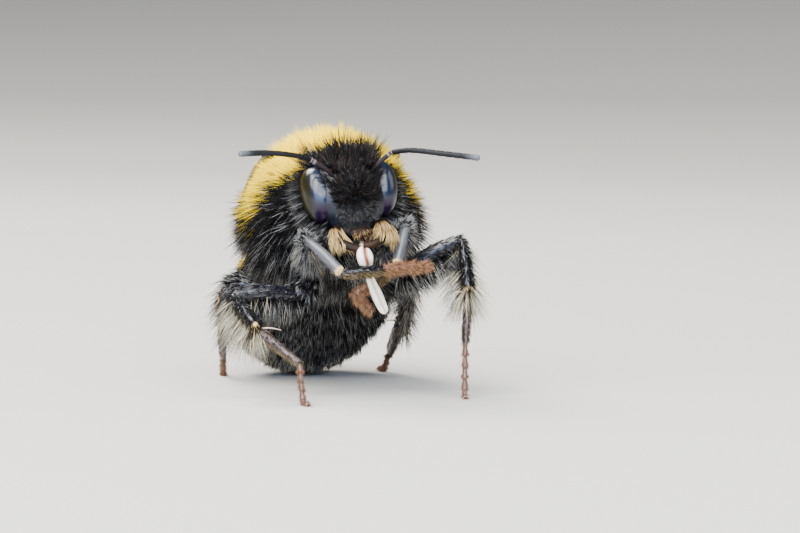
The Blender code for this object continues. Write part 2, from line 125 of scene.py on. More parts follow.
def newPiece(name, points, faces, material, marks=None, uv=None):
    # points in millimetres, faces a list of index arrays; marks are values at the points
    mesh = bpy.data.meshes.new(name)
    corners = np.concatenate([f.ravel() for f in faces]).astype(np.int32)
    sizes = np.concatenate([np.full(len(f), f.shape[1]) for f in faces])
    starts = np.concatenate(([0], np.cumsum(sizes)[:-1])).astype(np.int32)
    mesh.vertices.add(len(points))
    mesh.vertices.foreach_set("co", (np.asarray(points) * mm).astype(np.float32).ravel())
    mesh.loops.add(len(corners))
    mesh.loops.foreach_set("vertex_index", corners)
    mesh.polygons.add(len(sizes))
    mesh.polygons.foreach_set("loop_start", starts)
    mesh.update(calc_edges=True)
    mesh.shade_smooth()
    for key, values in (marks or {}).items():
        layer = mesh.attributes.new(key, "FLOAT", "POINT")
        layer.data.foreach_set("value", np.broadcast_to(values, len(points)).astype(np.float32))
    if uv is not None:
        layer = mesh.uv_layers.new(name="OFBake")
        layer.data.foreach_set("uv", uv[corners].astype(np.float32).ravel())
    mesh.materials.append(material)
    piece = bpy.data.objects.new(name, mesh)
    bpy.context.scene.collection.objects.link(piece)
    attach(piece, "root")
    return piece


def ringFaces(rows, cols, start=0):  # quads between closed rings, and a fan to a point at each end
    r, c = np.meshgrid(np.arange(rows - 1), np.arange(cols), indexing="ij")
    n = (c + 1) % cols
    quads = np.stack((r * cols + c, r * cols + n, (r + 1) * cols + n, (r + 1) * cols + c), -1)
    c = np.arange(cols)
    n = (c + 1) % cols
    first, last = rows * cols, rows * cols + 1
    caps = np.concatenate((np.stack((np.full(cols, first), n, c), -1),
                           np.stack((np.full(cols, last), (rows - 1) * cols + c,
                                     (rows - 1) * cols + n), -1)))
    return quads.reshape(-1, 4) + start, caps + start


def closedShell(rings):  # rings (rows, cols, 3) to points and outward faces
    rows, cols = rings.shape[:2]
    points = np.concatenate((rings.reshape(-1, 3), [rings[0].mean(0)], [rings[-1].mean(0)]))
    quads, caps = ringFaces(rows, cols)
    tris = np.concatenate((quads[:, :3], quads[:, [0, 2, 3]], caps))
    a, b, c = (points[tris[:, k]] - points.mean(0) for k in range(3))
    if np.einsum("ij,ij->i", a, np.cross(b, c)).sum() < 0:
        quads, caps = quads[:, ::-1], caps[:, ::-1]
    return points, [quads, caps]


def shellPiece(name, shells, material, slot, *replaced):
    # several closed shells, each with its own marks, as one piece
    points, quads, caps, marks, at = [], [], [], {}, 0
    for rings, extra in shells:
        p, (q, c) = closedShell(rings)
        points.append(p)
        quads.append(q + at)
        caps.append(c + at)
        at += len(p)
        for key, values in extra.items():
            flat = np.broadcast_to(values, rings.shape[:2]).reshape(-1)
            ends = (flat[:rings.shape[1]].mean(), flat[-rings.shape[1]:].mean())
            marks.setdefault(key, []).append(np.concatenate((flat, ends)))
    marks = {key: np.concatenate(values) for key, values in marks.items()}
    points = np.concatenate(points)
    points[:, 2] = np.maximum(points[:, 2], aboveFloor)
    piece = newPiece(name, points, [np.concatenate(quads), np.concatenate(caps)], material, marks)
    if replaced:
        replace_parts(piece, *replaced)


def smoothPath(points, count):  # Catmull-Rom through the points, evenly spaced
    p = np.asarray(points, float)
    q = np.vstack((2 * p[0] - p[1], p, 2 * p[-1] - p[-2]))
    t = np.linspace(0, 1, 20, endpoint=False)[:, None]
    runs = [0.5 * (2 * b + (c - a) * t + (2 * a - 5 * b + 4 * c - d) * t ** 2
                   + (3 * b - a - 3 * c + d) * t ** 3)
            for a, b, c, d in zip(q, q[1:], q[2:], q[3:])]
    fine = np.vstack(runs + [p[-1:]])
    along = np.concatenate(([0], np.cumsum(np.linalg.norm(np.diff(fine, axis=0), axis=1))))
    even = np.linspace(0, along[-1], count)
    return np.stack([np.interp(even, along, fine[:, k]) for k in range(3)], axis=1)


def roundEnds(s, cap):  # 1 along a length, falling to 0 as a circle does over each end
    near = np.minimum(s, 1 - s)
    return np.sqrt(np.clip(1 - (1 - np.clip(near / cap, 0, 1)) ** 2, 0, 1))


# Materials. A tree holds its own shader; the groups give only colours, masks and heights.
def newMaterial(name):
    made = bpy.data.materials.new(name)
    made.use_nodes = True
    return made, made.node_tree, made.node_tree.nodes["Principled BSDF"]


def plug(tree, value, socket):  # a link, a colour or a plain value
    if isinstance(value, bpy.types.NodeSocket):
        tree.links.new(value, socket)
    elif socket.type == "RGBA":
        socket.default_value = (*value, 1)
    else:
        socket.default_value = value


def setShader(tree, shader, **values):
    for key, value in values.items():
        plug(tree, value, shader.inputs[key.replace("_", " ")])


def addNode(tree, kind, inputs=None, **settings):
    node = tree.nodes.new(kind)
    for key, value in settings.items():
        setattr(node, key, value)
    for key, value in (inputs or {}).items():
        plug(tree, value, node.inputs[key])
    return node


def markOf(tree, name):  # a value kept at the mesh's points
    return addNode(tree, "ShaderNodeAttribute", attribute_name=name).outputs["Fac"]


def mixColour(tree, factor, a, b, way="MIX"):
    return addNode(tree, "ShaderNodeMix", {0: factor, 6: a, 7: b}, data_type="RGBA",
                   blend_type=way).outputs[2]


def shaded(tree, colour, light):  # a colour times one value
    grey = addNode(tree, "ShaderNodeCombineColor", {"Red": light, "Green": light, "Blue": light})
    return mixColour(tree, 1.0, colour, grey.outputs["Color"], "MULTIPLY")


def reckon(tree, way, a, b):
    return addNode(tree, "ShaderNodeMath", {0: a, 1: b}, operation=way).outputs[0]


def placeOf(tree):
    return addNode(tree, "ShaderNodeTexCoord").outputs["Object"]


def cloudOf(tree, place, scale, detail=2.0):
    return addNode(tree, "ShaderNodeTexNoise", {"Vector": place, "Scale": scale,
                                                "Detail": detail}).outputs["Fac"]


def raisedBy(tree, height, strength, depth, **settings):  # depth in metres
    return addNode(tree, "ShaderNodeBump", {"Strength": strength, "Distance": depth,
                                            "Height": height}, **settings).outputs["Normal"]


def spread(tree, value, low, high, toLow=0.0, toHigh=1.0):
    names = {"Value": value, "From Min": low, "From Max": high, "To Min": toLow, "To Max": toHigh}
    return addNode(tree, "ShaderNodeMapRange", names).outputs["Result"]


def newGroup(name, inputs, outputs):
    tree = bpy.data.node_groups.new(name, "ShaderNodeTree")
    for key, kind, value in inputs:
        made = tree.interface.new_socket(key, in_out="INPUT", socket_type=kind)
        made.default_value = (*value, 1) if kind == "NodeSocketColor" else value
    for key, kind in outputs:
        tree.interface.new_socket(key, in_out="OUTPUT", socket_type=kind)
    return tree, tree.nodes.new("NodeGroupInput"), tree.nodes.new("NodeGroupOutput")


def useGroup(tree, group, **values):
    return addNode(tree, "ShaderNodeGroup", values, node_tree=group)


# Hair colours, from root to tip, darker at the root partly as the hair's own tone and partly as
# painted shade deep in the coat; the marks say which hair is which
hairTones = {
    "black": ((0.0012, 0.001, 0.0012), (0.0048, 0.0042, 0.0046)),
    "silver": ((0.006, 0.0055, 0.006), (0.42, 0.41, 0.39)),
    "yellow": ((0.4, 0.17, 0.0), (0.9, 0.63, 0.0)),
    "white": ((0.34, 0.3, 0.19), (0.86, 0.8, 0.62)),
    "gold": ((0.2, 0.09, 0.02), (0.86, 0.6, 0.26)),
    "rust": ((0.06, 0.022, 0.01), (0.5, 0.23, 0.12)),
}
hairMarks = ("Silver", "Yellow", "White", "Gold", "Rust")


def makeHairGroup():
    # each mark mixes its own root-to-tip colour, with painted shade towards the root, over the
    # black, silver only towards the tip; every hair is a little lighter or darker than its
    # neighbours
    values = {"Along": 0.5, "Odd": 0.5, **{name: 0.0 for name in hairMarks}}
    tree, given, out = newGroup(
        "hairColour", [(name, "NodeSocketFloat", value) for name, value in values.items()],
        [("Colour", "NodeSocketColor"), ("Rough", "NodeSocketFloat")])
    along = given.outputs["Along"]
    colour = mixColour(tree, along, *hairTones["black"])
    for name in hairMarks:
        part = spread(tree, along, 0.25 if name == "Silver" else 0.0, 0.85)
        shade = mixColour(tree, part, *hairTones[name.lower()])
        colour = mixColour(tree, given.outputs[name], colour, shade)
    light = spread(tree, given.outputs["Odd"], 0, 1, 0.62, 1.2)
    tree.links.new(shaded(tree, colour, light), out.inputs["Colour"])
    tree.links.new(spread(tree, given.outputs["Odd"], 0, 1, 0.36, 0.62), out.inputs["Rough"])
    return tree


hairGroup = makeHairGroup()


def hairMaterial():
    made, tree, shader = newMaterial("hair")
    marks = {name: markOf(tree, name.lower()) for name in ("Along", "Odd") + hairMarks}
    colour, rough = useGroup(tree, hairGroup, **marks).outputs
    setShader(tree, shader, Base_Color=colour, Roughness=rough, Specular_IOR_Level=0.1)
    return made


def makePitGroup():
    # fine pits and a faint leathery unevenness, as bump height and as a change of gloss
    tree, given, out = newGroup("pittedShell", [("Place", "NodeSocketVector", (0.0, 0.0, 0.0)),
                                                ("Pits", "NodeSocketFloat", 9000.0)],
                                [("Height", "NodeSocketFloat"), ("Wear", "NodeSocketFloat")])
    place, scale = given.outputs[:2]
    cells = addNode(tree, "ShaderNodeTexVoronoi", {"Vector": place, "Scale": scale})
    pits = spread(tree, cells.outputs["Distance"], 0.12, 0.34)
    cloud = cloudOf(tree, place, 2600.0, 4.0)
    tree.links.new(reckon(tree, "ADD", pits, cloud), out.inputs["Height"])
    tree.links.new(cloud, out.inputs["Wear"])
    return tree


pitGroup = makePitGroup()


def shellMaterial(title, dark, light, gloss, bump=0.25, coat=0.0, pits=9000.0, shine=0.5, **tones):
    # hard shell: two tones that drift into each other, pitted; each named mark brings in its own
    # duller tone
    made, tree, shader = newMaterial(title)
    height, wear = useGroup(tree, pitGroup, Place=placeOf(tree), Pits=pits).outputs
    colour = mixColour(tree, spread(tree, wear, 0.35, 0.65), dark, light)
    rough = spread(tree, wear, 0.3, 0.7, gloss, gloss + 0.16)
    for name, tone in tones.items():
        mark = markOf(tree, name)
        colour = mixColour(tree, mark, colour, tone)
        dull = spread(tree, mark, 0, 1, 0, 0.1 if name == "ashy" else 0.3)
        rough = reckon(tree, "ADD", rough, dull)
    setShader(tree, shader, Base_Color=colour, Roughness=rough, Coat_Weight=coat,
              Coat_Roughness=0.08, Specular_IOR_Level=shine,
              Normal=raisedBy(tree, height, bump, 0.00002))
    return made


hair = hairMaterial()
# the grey-down tone is partly the fore shins' fine grey down and partly a painted sheen
blackShell = shellMaterial("blackShell", (0.004, 0.004, 0.006), (0.014, 0.014, 0.02), 0.2,
                           coat=0.25, ashy=(0.06, 0.063, 0.07), ruddy=(0.2, 0.085, 0.045),
                           golden=(0.8, 0.52, 0.2))
faceShell = shellMaterial("faceShell", (0.002, 0.003, 0.006), (0.006, 0.009, 0.018), 0.3,
                          shine=0.35)
print("materials made")


# Stage, camera and lights
camera = {"azimuth": -13.0, "elevation": 4.0, "distance": 200.0, "frameWidth": 44.2,
          "aim": (2.59, -8.09, 7.28)}


def viewAxes(azimuth, elevation):  # right, up and away for a look from there, in degrees
    a, e = math.radians(azimuth), math.radians(elevation)
    away = -Vector((math.sin(a) * math.cos(e), -math.cos(a) * math.cos(e), math.sin(e)))
    right = Vector((math.cos(a), math.sin(a), 0))
    return right, right.cross(away), away


def makeCamera():
    right, up, away = viewAxes(camera["azimuth"], camera["elevation"])
    lens = bpy.data.cameras.new("camera")
    lens.sensor_width = 36
    lens.lens = 36 * camera["distance"] / camera["frameWidth"]
    lens.clip_start = 0.002
    eye = bpy.data.objects.new("camera", lens)
    bpy.context.scene.collection.objects.link(eye)
    eye.location = (Vector(camera["aim"]) - away * camera["distance"]) * mm
    eye.rotation_euler = Matrix((right, up, -away)).transposed().to_euler()
    bpy.context.scene.camera = eye


lamps = [  # name, azimuth, elevation, distance, size, watts, colour
    ("key", -52, 44, 0.4, (0.34, 0.34), 4.9, (1.0, 0.97, 0.91)),
    ("lowSky", -24, 13, 0.46, (0.62, 0.2), 3.1, (0.36, 0.58, 1.0)),
    ("sky", 3, 37, 0.42, (0.36, 0.32), 3.3, (0.95, 0.98, 1.0)),
    ("high", -15, 72, 0.4, (0.5, 0.17), 1.7, (0.97, 0.98, 1.0)),
    ("fill", 80, 30, 0.5, (0.3, 0.3), 0.7, (0.97, 0.98, 1.0)),
    ("rim", -150, 50, 0.36, (0.2, 0.2), 3.2, (1.0, 0.97, 0.9)),
]


def makeLamps():
    for name, azimuth, elevation, distance, size, watts, colour in lamps:
        lamp = bpy.data.lights.new(name, "AREA")
        lamp.shape = "RECTANGLE"
        lamp.size, lamp.size_y = size
        lamp.energy = watts
        lamp.color = colour
        item = bpy.data.objects.new(name, lamp)
        bpy.context.scene.collection.objects.link(item)
        right, up, away = viewAxes(azimuth, elevation)
        item.location = Vector((0, -0.004, 0.009)) - away * distance
        item.rotation_euler = Matrix((right, up, -away)).transposed().to_euler()


def stageMaterial():
    made, tree, shader = newMaterial("stage")
    cloud = cloudOf(tree, placeOf(tree), 9.0, 5.0)
    setShader(tree, shader, Roughness=0.85,
              Base_Color=mixColour(tree, cloud, (0.4, 0.387, 0.365), (0.455, 0.442, 0.42)))
    return made


def makeStage():
    # a flat round floor whose rim sweeps up into a wall: radius and height against one arc
    flat, sweep, high, cols = 280.0, 1300.0, 2600.0, 96
    arc = np.linspace(0, math.pi / 2, 17)
    radius = np.concatenate(([60, 150, flat], flat + sweep * np.sin(arc[1:]), [flat + sweep]))
    height = np.concatenate(([0, 0, 0], sweep * (1 - np.cos(arc[1:])), [high]))
    turn = np.arange(cols) * 2 * math.pi / cols
    rings = np.stack((np.outer(radius, np.cos(turn)), np.outer(radius, np.sin(turn)),
                      np.repeat(height[:, None], cols, axis=1)), -1)
    quads = ringFaces(len(radius), cols)[0]
    points = np.concatenate((rings.reshape(-1, 3), [[0, 0, 0]]))
    c = np.arange(cols)
    middle = np.stack((np.full(cols, len(points) - 1), c, (c + 1) % cols), -1)
    mesh = bpy.data.meshes.new("stage")
    mesh.from_pydata((points * mm).tolist(), [], quads[:, ::-1].tolist() + middle.tolist())
    mesh.shade_smooth()
    mesh.materials.append(stageMaterial())
    floor = bpy.data.objects.new("stage", mesh)
    bpy.context.scene.collection.objects.link(floor)


def makeWorld():
    world = bpy.data.worlds.new("studio")
    world.use_nodes = True
    setShader(world.node_tree, world.node_tree.nodes["Background"], Color=(0.86, 0.9, 0.96),
              Strength=0.22)
    bpy.context.scene.world = world


makeCamera()
makeLamps()
makeStage()
makeWorld()
print("camera, lamps and stage set")


# Coats. A skin is a function of two arrays, u along it and v round it, both 0 to 1.
def skinGrid(skin, rows, cols, ease=False):
    u = np.linspace(0, 1, rows + 2)[1:-1]
    u = 0.5 - 0.5 * np.cos(u * math.pi) if ease else u
    v = np.arange(cols) / cols
    uu, vv = np.meshgrid(u, v, indexing="ij")
    return skin(uu.ravel(), vv.ravel()).reshape(rows, cols, 3), uu, vv


def skinPiece(name, skin, rows, cols, material, marks, slot, *replaced):
    points, faces = closedShell(skinGrid(skin, rows, cols)[0])
    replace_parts(newPiece(name, points, faces, material, marks(points)), *replaced)


def limbShell(skin, rows, cols, **marks):  # rings for shellPiece; a mark may be a function of u, v
    rings, u, v = skinGrid(skin, rows, cols, ease=True)
    return rings, {key: value(u, v) if callable(value) else value for key, value in marks.items()}


def skinSlopes(skin, u, v, step=0.002):
    # the skin's point, its outward normal, and its slope along u and v
    p = skin(u, v)
    du = (skin(np.clip(u + step, 0, 1), v) - skin(np.clip(u - step, 0, 1), v)) / (2 * step)
    dv = (skin(u, (v + step) % 1) - skin(u, (v - step) % 1)) / (2 * step)
    n = unit(np.cross(dv, du))
    return p, n, du, dv


def outwardSign(skin):  # 1 where its slopes give outward normals, else -1
    u, v = (a.ravel() for a in np.meshgrid(np.linspace(0.1, 0.9, 9), np.arange(12) / 12,
                                           indexing="ij"))
    p, n, _, _ = skinSlopes(skin, u, v)
    return 1.0 if ((p - p.mean(0)) * n).sum() > 0 else -1.0


# What a coat is unless its own dictionary says otherwise; lengths in millimetres. Width, length,
# stand and bend may each be a function of the roots and their normals.
usualCoat = {
    "perTuft": 8, "tuftWidth": 0.12,  # hairs in a tuft, and how far they root from its middle
    "length": 1.0, "width": 0.04, "rings": 3,
    "hairVaries": (0.72, 1.08), "tuftVaries": (0.88, 1.06),  # shares of the length, at random
    "widthVaries": (0.7, 1.25),
    "stand": 0.5,  # 1 stands straight out, 0 follows the lie
    "bend": 0.35, "curl": 0.12,  # how far a tip bends into the lie, and how unevenly
    "tuftLean": 0.12, "fray": 0.09,  # how unevenly tufts and hairs start out
    "gather": 0.3,  # how far the tips draw together
    "cells": 220,  # fineness of the grid that roots are drawn from
    "where": lambda p, n: 1.0,
}
tapers = {2: (1.0, 0.8), 3: (0.85, 1.0, 0.75)}  # width at each ring of a hair, before its tip
rootDepth = 0.04  # how far a root is sunk in the skin
tuftPatch = 0.003  # side of a hair's patch on the map
mapShare = 0.994  # the part of the map that roots fill, so that no patch leaves it
pieceLimit = 196000  # triangles


def growHairs(skin, look):
    # Tufts of tapered, curved hairs. The roots are drawn evenly over the skin's area times
    # look["where"]. A hair leaves the skin between its normal and its lie, bends further into
    # the lie as the square of its length, and its tip leans to the middle of its tuft.
    look = {**usualCoat, **look}
    sign = outwardSign(skin)
    cells, perTuft, rings = look["cells"], look["perTuft"], look["rings"]
    even = (np.arange(cells) + 0.5) / cells
    u, v = (a.ravel() for a in np.meshgrid(even, even, indexing="ij"))
    p, n, du, dv = skinSlopes(skin, u, v)
    chance = np.linalg.norm(np.cross(du, dv), axis=1) * look["where"](p, n * sign)
    tufts = max(1, int(look["count"] / perTuft))
    pick = rng.choice(len(chance), tufts, p=chance / chance.sum())

    def scattered(middle, slope):  # a tuft's place in its cell, and its hairs round that place
        place = middle[pick] + rng.uniform(-0.5, 0.5, tufts) / cells
        apart = rng.normal(0, look["tuftWidth"], (tufts, perTuft))
        steep = np.maximum(np.linalg.norm(slope[pick], axis=1), 0.3)
        return place[:, None] + apart / steep[:, None]

    u, v = scattered(u, du).ravel(), scattered(v, dv).ravel()
    u, v = np.clip(u, 0.001, 0.999), v % 1
    root, n, _, _ = skinSlopes(skin, u, v)
    n = n * sign
    count = len(root)

    def each(key):  # a value of the coat, either plain or worked out at each root
        return np.broadcast_to(look[key](root, n) if callable(look[key]) else look[key], count)

    lie = look["lie"](root, n)
    stand = each("stand")[:, None]
    length = each("length") * rng.uniform(*look["hairVaries"], count)
    length = length * np.repeat(rng.uniform(*look["tuftVaries"], tufts), perTuft)
    tuftWay = np.repeat(rng.normal(0, look["tuftLean"], (tufts, 3)), perTuft, axis=0)
    start = unit(n * stand + lie * (1 - stand) + tuftWay + rng.normal(0, look["fray"], (count, 3)))
    bend = (look.get("bendWay", lie) * each("bend")[:, None]
            + rng.normal(0, look["curl"], (count, 3)))
    s = np.linspace(0, 1, rings + 1)
    line = (root - n * rootDepth)[:, None] + length[:, None, None] * (
        start[:, None] * s[None, :, None] + bend[:, None] * (s ** 2)[None, :, None])
    line = line.reshape(tufts, perTuft, rings + 1, 3)
    draw = (look["gather"] * s ** 1.5)[None, None, :, None]
    line = line + (line.mean(axis=1, keepdims=True) - line) * draw
    line = line.reshape(count, rings + 1, 3)
    way = unit(line[:, -1] - line[:, 0])
    a = unit(np.cross(way, rng.normal(size=(count, 3))))
    turn = np.arange(3) * 2 * math.pi / 3
    around = (a[:, None] * np.cos(turn)[None, :, None]
              + np.cross(way, a)[:, None] * np.sin(turn)[None, :, None])
    taper = np.array(tapers[rings])
    width = each("width") * rng.uniform(*look["widthVaries"], count) / 2
    body = line[:, :rings, None] + (around[:, None] * width[:, None, None, None]
                                    * taper[None, :, None, None])
    marks = {name.lower(): np.zeros(count) for name in hairMarks}
    tones = look["marks"](root, n)
    marks.update({key: np.broadcast_to(value, count) for key, value in tones.items()})
    marks["odd"] = rng.uniform(0, 1, count)
    points = np.concatenate((body.reshape(count, rings * 3, 3), line[:, -1:]), axis=1)
    return points, np.stack((u, v), -1), marks


def coatPiece(name, grown):
    # joins lots of hairs into pieces of less than 200,000 triangles; each lot has its own strip
    # of the map, and each hair a small patch of it at its root
    points = np.concatenate([g[0] for g in grown])
    points[..., 2] = np.maximum(points[..., 2], aboveFloor)  # hairs that reach the floor lie on it
    perHair = points.shape[1]
    rings = (perHair - 1) // 3
    strip = 1 / len(grown)
    uv = np.concatenate([g[1] * (mapShare * strip, mapShare) + (k * strip, 0)
                         for k, g in enumerate(grown)])
    marks = {key: np.concatenate([g[2][key] for g in grown]) for key in grown[0][2]}
    k, j = (x.ravel() for x in np.meshgrid(np.arange(rings - 1), np.arange(3), indexing="ij"))
    m = (j + 1) % 3
    quads = np.stack((k * 3 + j, k * 3 + m, (k + 1) * 3 + m, (k + 1) * 3 + j), -1)
    j, top = np.arange(3), (rings - 1) * 3
    tris = np.concatenate((np.stack((top + j, top + (j + 1) % 3, np.full(3, rings * 3)), -1),
                           [[0, 2, 1]]))
    along = np.concatenate((np.repeat(np.arange(rings) / rings, 3), [1.0]))
    across = np.concatenate((np.tile(np.arange(3) / 3, rings), [0.5]))
    patch = tuftPatch * np.stack((across, along), -1)
    triangles = len(points) * (len(quads) * 2 + len(tris))
    pieces = math.ceil(triangles / pieceLimit)
    for index, chosen in enumerate(np.array_split(np.argsort(uv[:, 0], kind="stable"), pieces)):
        shift = (np.arange(len(chosen)) * perHair)[:, None, None]
        values = {key: np.repeat(x[chosen], perHair) for key, x in marks.items()}
        values["along"] = np.tile(along, len(chosen))
        newPiece(f"{name}_{index + 1}" if pieces > 1 else name, points[chosen].reshape(-1, 3),
                 [(quads[None] + shift).reshape(-1, 4), (tris[None] + shift).reshape(-1, 3)],
                 hair, values, (uv[chosen][:, None] + patch[None]).reshape(-1, 2))
    print(name, triangles, "triangles")


def limbSkin(path, broad, thin, thinWay, shape=None, cap=0.08, count=33):
    # an ellipse carried along a smooth path; `shape` scales it along the way, and both ends
    # close like domes over the share `cap`
    middle = smoothPath(path, count)
    ahead = unit(np.gradient(middle, axis=0))
    thinWay = np.asarray(thinWay, float)
    thinDir = unit(thinWay - ahead * (ahead @ thinWay)[:, None])
    size = (shape(np.linspace(0, 1, count)) if shape else np.ones(count))[:, None]
    frames = np.stack((middle, np.cross(ahead, thinDir) * broad * size, thinDir * thin * size), 1)

    def skin(u, v):
        at = np.asarray(u, float) * (count - 1)
        low = np.clip(np.floor(at).astype(int), 0, count - 2)
        part = (at - low)[:, None, None]
        f = frames[low] * (1 - part) + frames[low + 1] * part
        angle = np.asarray(v, float)[:, None] * 2 * math.pi
        return f[:, 0] + (f[:, 1] * np.cos(angle) + f[:, 2] * np.sin(angle)) * (
            roundEnds(np.asarray(u, float), cap)[:, None])
    return skin


# Thorax: a barrel along the body with a fuller collar and scutellum, drawn in by its coat
thorax = {
    "halfWidth": 5.0, "halfLength": 4.6, "halfHeight": 4.85, "bellyShare": 0.9,
    "collarSwell": 0.05, "scutellumSwell": 0.06, "coatDepth": 1.45,
    "hairLength": 1.62, "perTuft": 10, "locks": 0.17,  # the share of tufts that are silver below
    "bareNeck": (1.7, -3.2),  # no coat within this of the neck's axis, in front of this depth
    "yellowRear": 0.05,  # the collar's rear edge, as a share of the half length
    "yellowLow": -0.04,  # how far down the sides it reaches
    "darkBeside": (2.9, 3.4), "darkBelow": (1.25, 1.95),  # black next to the head, across and up it
    "waver": (0.07, 1.6),  # how far the collar's edges waver, and over what length
    "skinShare": 0.71,  # the skin's size by that of the coat
}


def thoraxSkin(u, v):
    # half sizes times cosine and sine of the turn from front to rear, swelled along the back
    t, depth = thorax, thorax["coatDepth"]
    turn, angle = u * math.pi, v * 2 * math.pi
    girth = np.sin(turn) ** 0.88
    x, up = np.cos(angle), np.sin(angle)
    back = np.maximum(0, up)
    swell = 1 + back * (t["collarSwell"] * bell(turn, 0.9, 0.5)
                        + t["scutellumSwell"] * bell(turn, 2.3, 0.4))
    high = (t["halfHeight"] - depth) * np.where(up > 0, 1, t["bellyShare"])
    local = np.stack(((t["halfWidth"] - depth) * x * girth * swell,
                      (t["halfLength"] - depth) * np.cos(turn),
                      high * up * girth * swell), -1)
    return inBody(local)


def thoraxYellow(p):  # 1 in the collar, with a wavering edge
    t = thorax
    q = toBody(p) / (t["halfWidth"], t["halfLength"], t["halfHeight"]) / t["skinShare"]
    far, length = t["waver"]
    waver = far * ripple(p, length)
    face = toHead(p)
    beside = (1 - blendStep(np.abs(face[:, 0]) + waver, *t["darkBeside"])) * (
        1 - blendStep(face[:, 1] + waver, *t["darkBelow"]))
    return (blendStep(q[:, 1] + waver, t["yellowRear"] - 0.04, t["yellowRear"] + 0.04)
            * blendStep(q[:, 2] + waver, t["yellowLow"] - 0.04, t["yellowLow"] + 0.04)
            * (1 - beside))


def thoraxMarks(p, n):  # a hair at an edge is yellow by chance; silver hairs, and locks below
    yellow = (thoraxYellow(p) > rng.uniform(0.15, 0.85, len(p))).astype(float)
    low = blendStep(-n[:, 2], -0.15, 0.45)
    perTuft = thorax["perTuft"]
    locks = np.repeat(someOf(len(p) // perTuft, thorax["locks"], 0.75), perTuft)
    silver = np.maximum(someOf(len(p), 0.035), locks * low)
    return {"yellow": yellow, "silver": silver * (1 - yellow)}


def thoraxWhere(p, n):
    q = toHead(p)
    near, depth = thorax["bareNeck"]
    return 1 - 0.97 * ((np.linalg.norm(q[:, :2], axis=1) < near) & (q[:, 2] > depth))


def thoraxLength(p, n):  # longer below, and longest low on the flanks
    low = blendStep(-n[:, 2], -0.5, 0.3)
    flank = blendStep(np.abs(n @ sideways), 0.35, 0.8)
    return thorax["hairLength"] * (1 + low * (0.45 + 0.4 * flank))


def thoraxLie(p, n):
    # hairs sweep back over the top, and hang on the sides and below
    side = blendStep(-n[:, 2], -0.5, 0.4)[:, None]
    back = unit(-forward + 0.0 * n)
    hang = unit(np.array((0, 0.25, -1.0)))
    lie = back * (1 - side) + hang * side
    return unit(lie - n * (lie * n).sum(1, keepdims=True) * 0.7)


thoraxCoat = {
    "count": 52000, "width": 0.053, "length": thoraxLength, "lie": thoraxLie, "bend": 0.24,
    "stand": lambda p, n: 0.88 - 0.45 * blendStep(-n[:, 2], -0.25, 0.5), "where": thoraxWhere,
    "perTuft": thorax["perTuft"], "tuftWidth": 0.14, "tuftLean": 0.22, "gather": 0.5,
    "curl": 0.14, "marks": thoraxMarks, "rings": 2,
}


def skinMaterial():
    # the hide under the hair, in the hair's own markings but darker
    made, tree, shader = newMaterial("bodySkin")
    height, wear = useGroup(tree, pitGroup, Place=placeOf(tree), Pits=7000.0).outputs
    colour = mixColour(tree, spread(tree, wear, 0.3, 0.7), (0.005, 0.005, 0.006),
                       (0.014, 0.013, 0.014))
    colour = mixColour(tree, markOf(tree, "yellow"), colour, (0.34, 0.16, 0.008))
    colour = mixColour(tree, markOf(tree, "white"), colour, (0.26, 0.23, 0.18))
    setShader(tree, shader, Base_Color=colour, Roughness=spread(tree, wear, 0.3, 0.7, 0.35, 0.6),
              Normal=raisedBy(tree, height, 0.3, 0.00002))
    return made


bodySkin = skinMaterial()


def makeThorax():
    skinPiece("thorax_skin", thoraxSkin, 60, 90, bodySkin,
              lambda p: {"yellow": thoraxYellow(p), "white": 0.0}, "coat_black", "thorax")
    coatPiece("coat_thorax", [growHairs(thoraxSkin, thoraxCoat)])


makeThorax()
print("thorax made")


# Head: a rounded box, broad at the eyes and narrow at the jaws, with its shield-like lower face
head = {
    "halfWidth": 2.3, "above": 1.92, "below": 2.5, "front": 1.45, "back": 1.15, "squareness": 2.5,
    "narrowing": 0.36,  # share of the width lost towards the jaws
    "shieldMiddle": -1.65, "shieldHalf": (1.14, 0.92), "shieldRise": 0.26,
    "socket": (0.8, 0.38),  # feeler sockets, across and up
    "eyeAt": (1.78, 0.0, 0.02), "eyeHalf": (0.92, 1.58, 1.2), "eyeSquareness": 2.2,
    "eyeLean": 5.0,  # the eyes lean in at the bottom, degrees
    "ocelli": ((0.0, 1.4), (0.44, 1.62), (-0.44, 1.62)), "ocellusRadius": 0.13,
}


def superBall(direction, half, power):
    # the point on a rounded box in a direction: radius = (sum |d / half| ^ power) ^ (-1 / power)
    r = (np.abs(direction / half) ** power).sum(-1, keepdims=True) ** (-1 / power)
    return direction * r


def ballWays(u, v):  # directions over a ball whose poles are at its left and right
    turn, angle = u * math.pi, v * 2 * math.pi
    return np.stack((-np.cos(turn), np.sin(turn) * np.sin(angle), np.sin(turn) * np.cos(angle)), -1)


def headSurface(d):
    # the head's own point in a direction: a rounded box that narrows to the jaws, with its
    # shield and brow raised and its feeler sockets and midline sunk by smooth humps
    h = head
    half = np.stack((np.full(len(d), h["halfWidth"]), np.where(d[:, 1] > 0, h["above"], h["below"]),
                     np.where(d[:, 2] > 0, h["front"], h["back"])), -1)
    p = superBall(d, half, h["squareness"])
    p[:, 0] *= 1 - h["narrowing"] * blendStep(-p[:, 1], 0.4, 2.6)
    x, y = p[:, 0], p[:, 1]
    facing = blendStep(d[:, 2], 0.0, 0.45)
    wide, tall = h["shieldHalf"]
    shield = ((np.abs(x) / wide) ** 3 + (np.abs(y - h["shieldMiddle"]) / tall) ** 3) ** (1 / 3)
    rise = h["shieldRise"] * blendStep(-shield, -1.1, -0.82)
    rise += 0.2 * bell(x, 0, 0.45) * bell(y, -0.35, 0.5)
    sx, sy = h["socket"]
    rise -= 0.2 * bell(np.hypot(np.abs(x) - sx, y - sy), 0, 0.2)
    rise -= 0.12 * bell(x, 0, 0.1) * blendStep(y, 0.3, 0.9)
    p[:, 2] += rise * facing
    return p


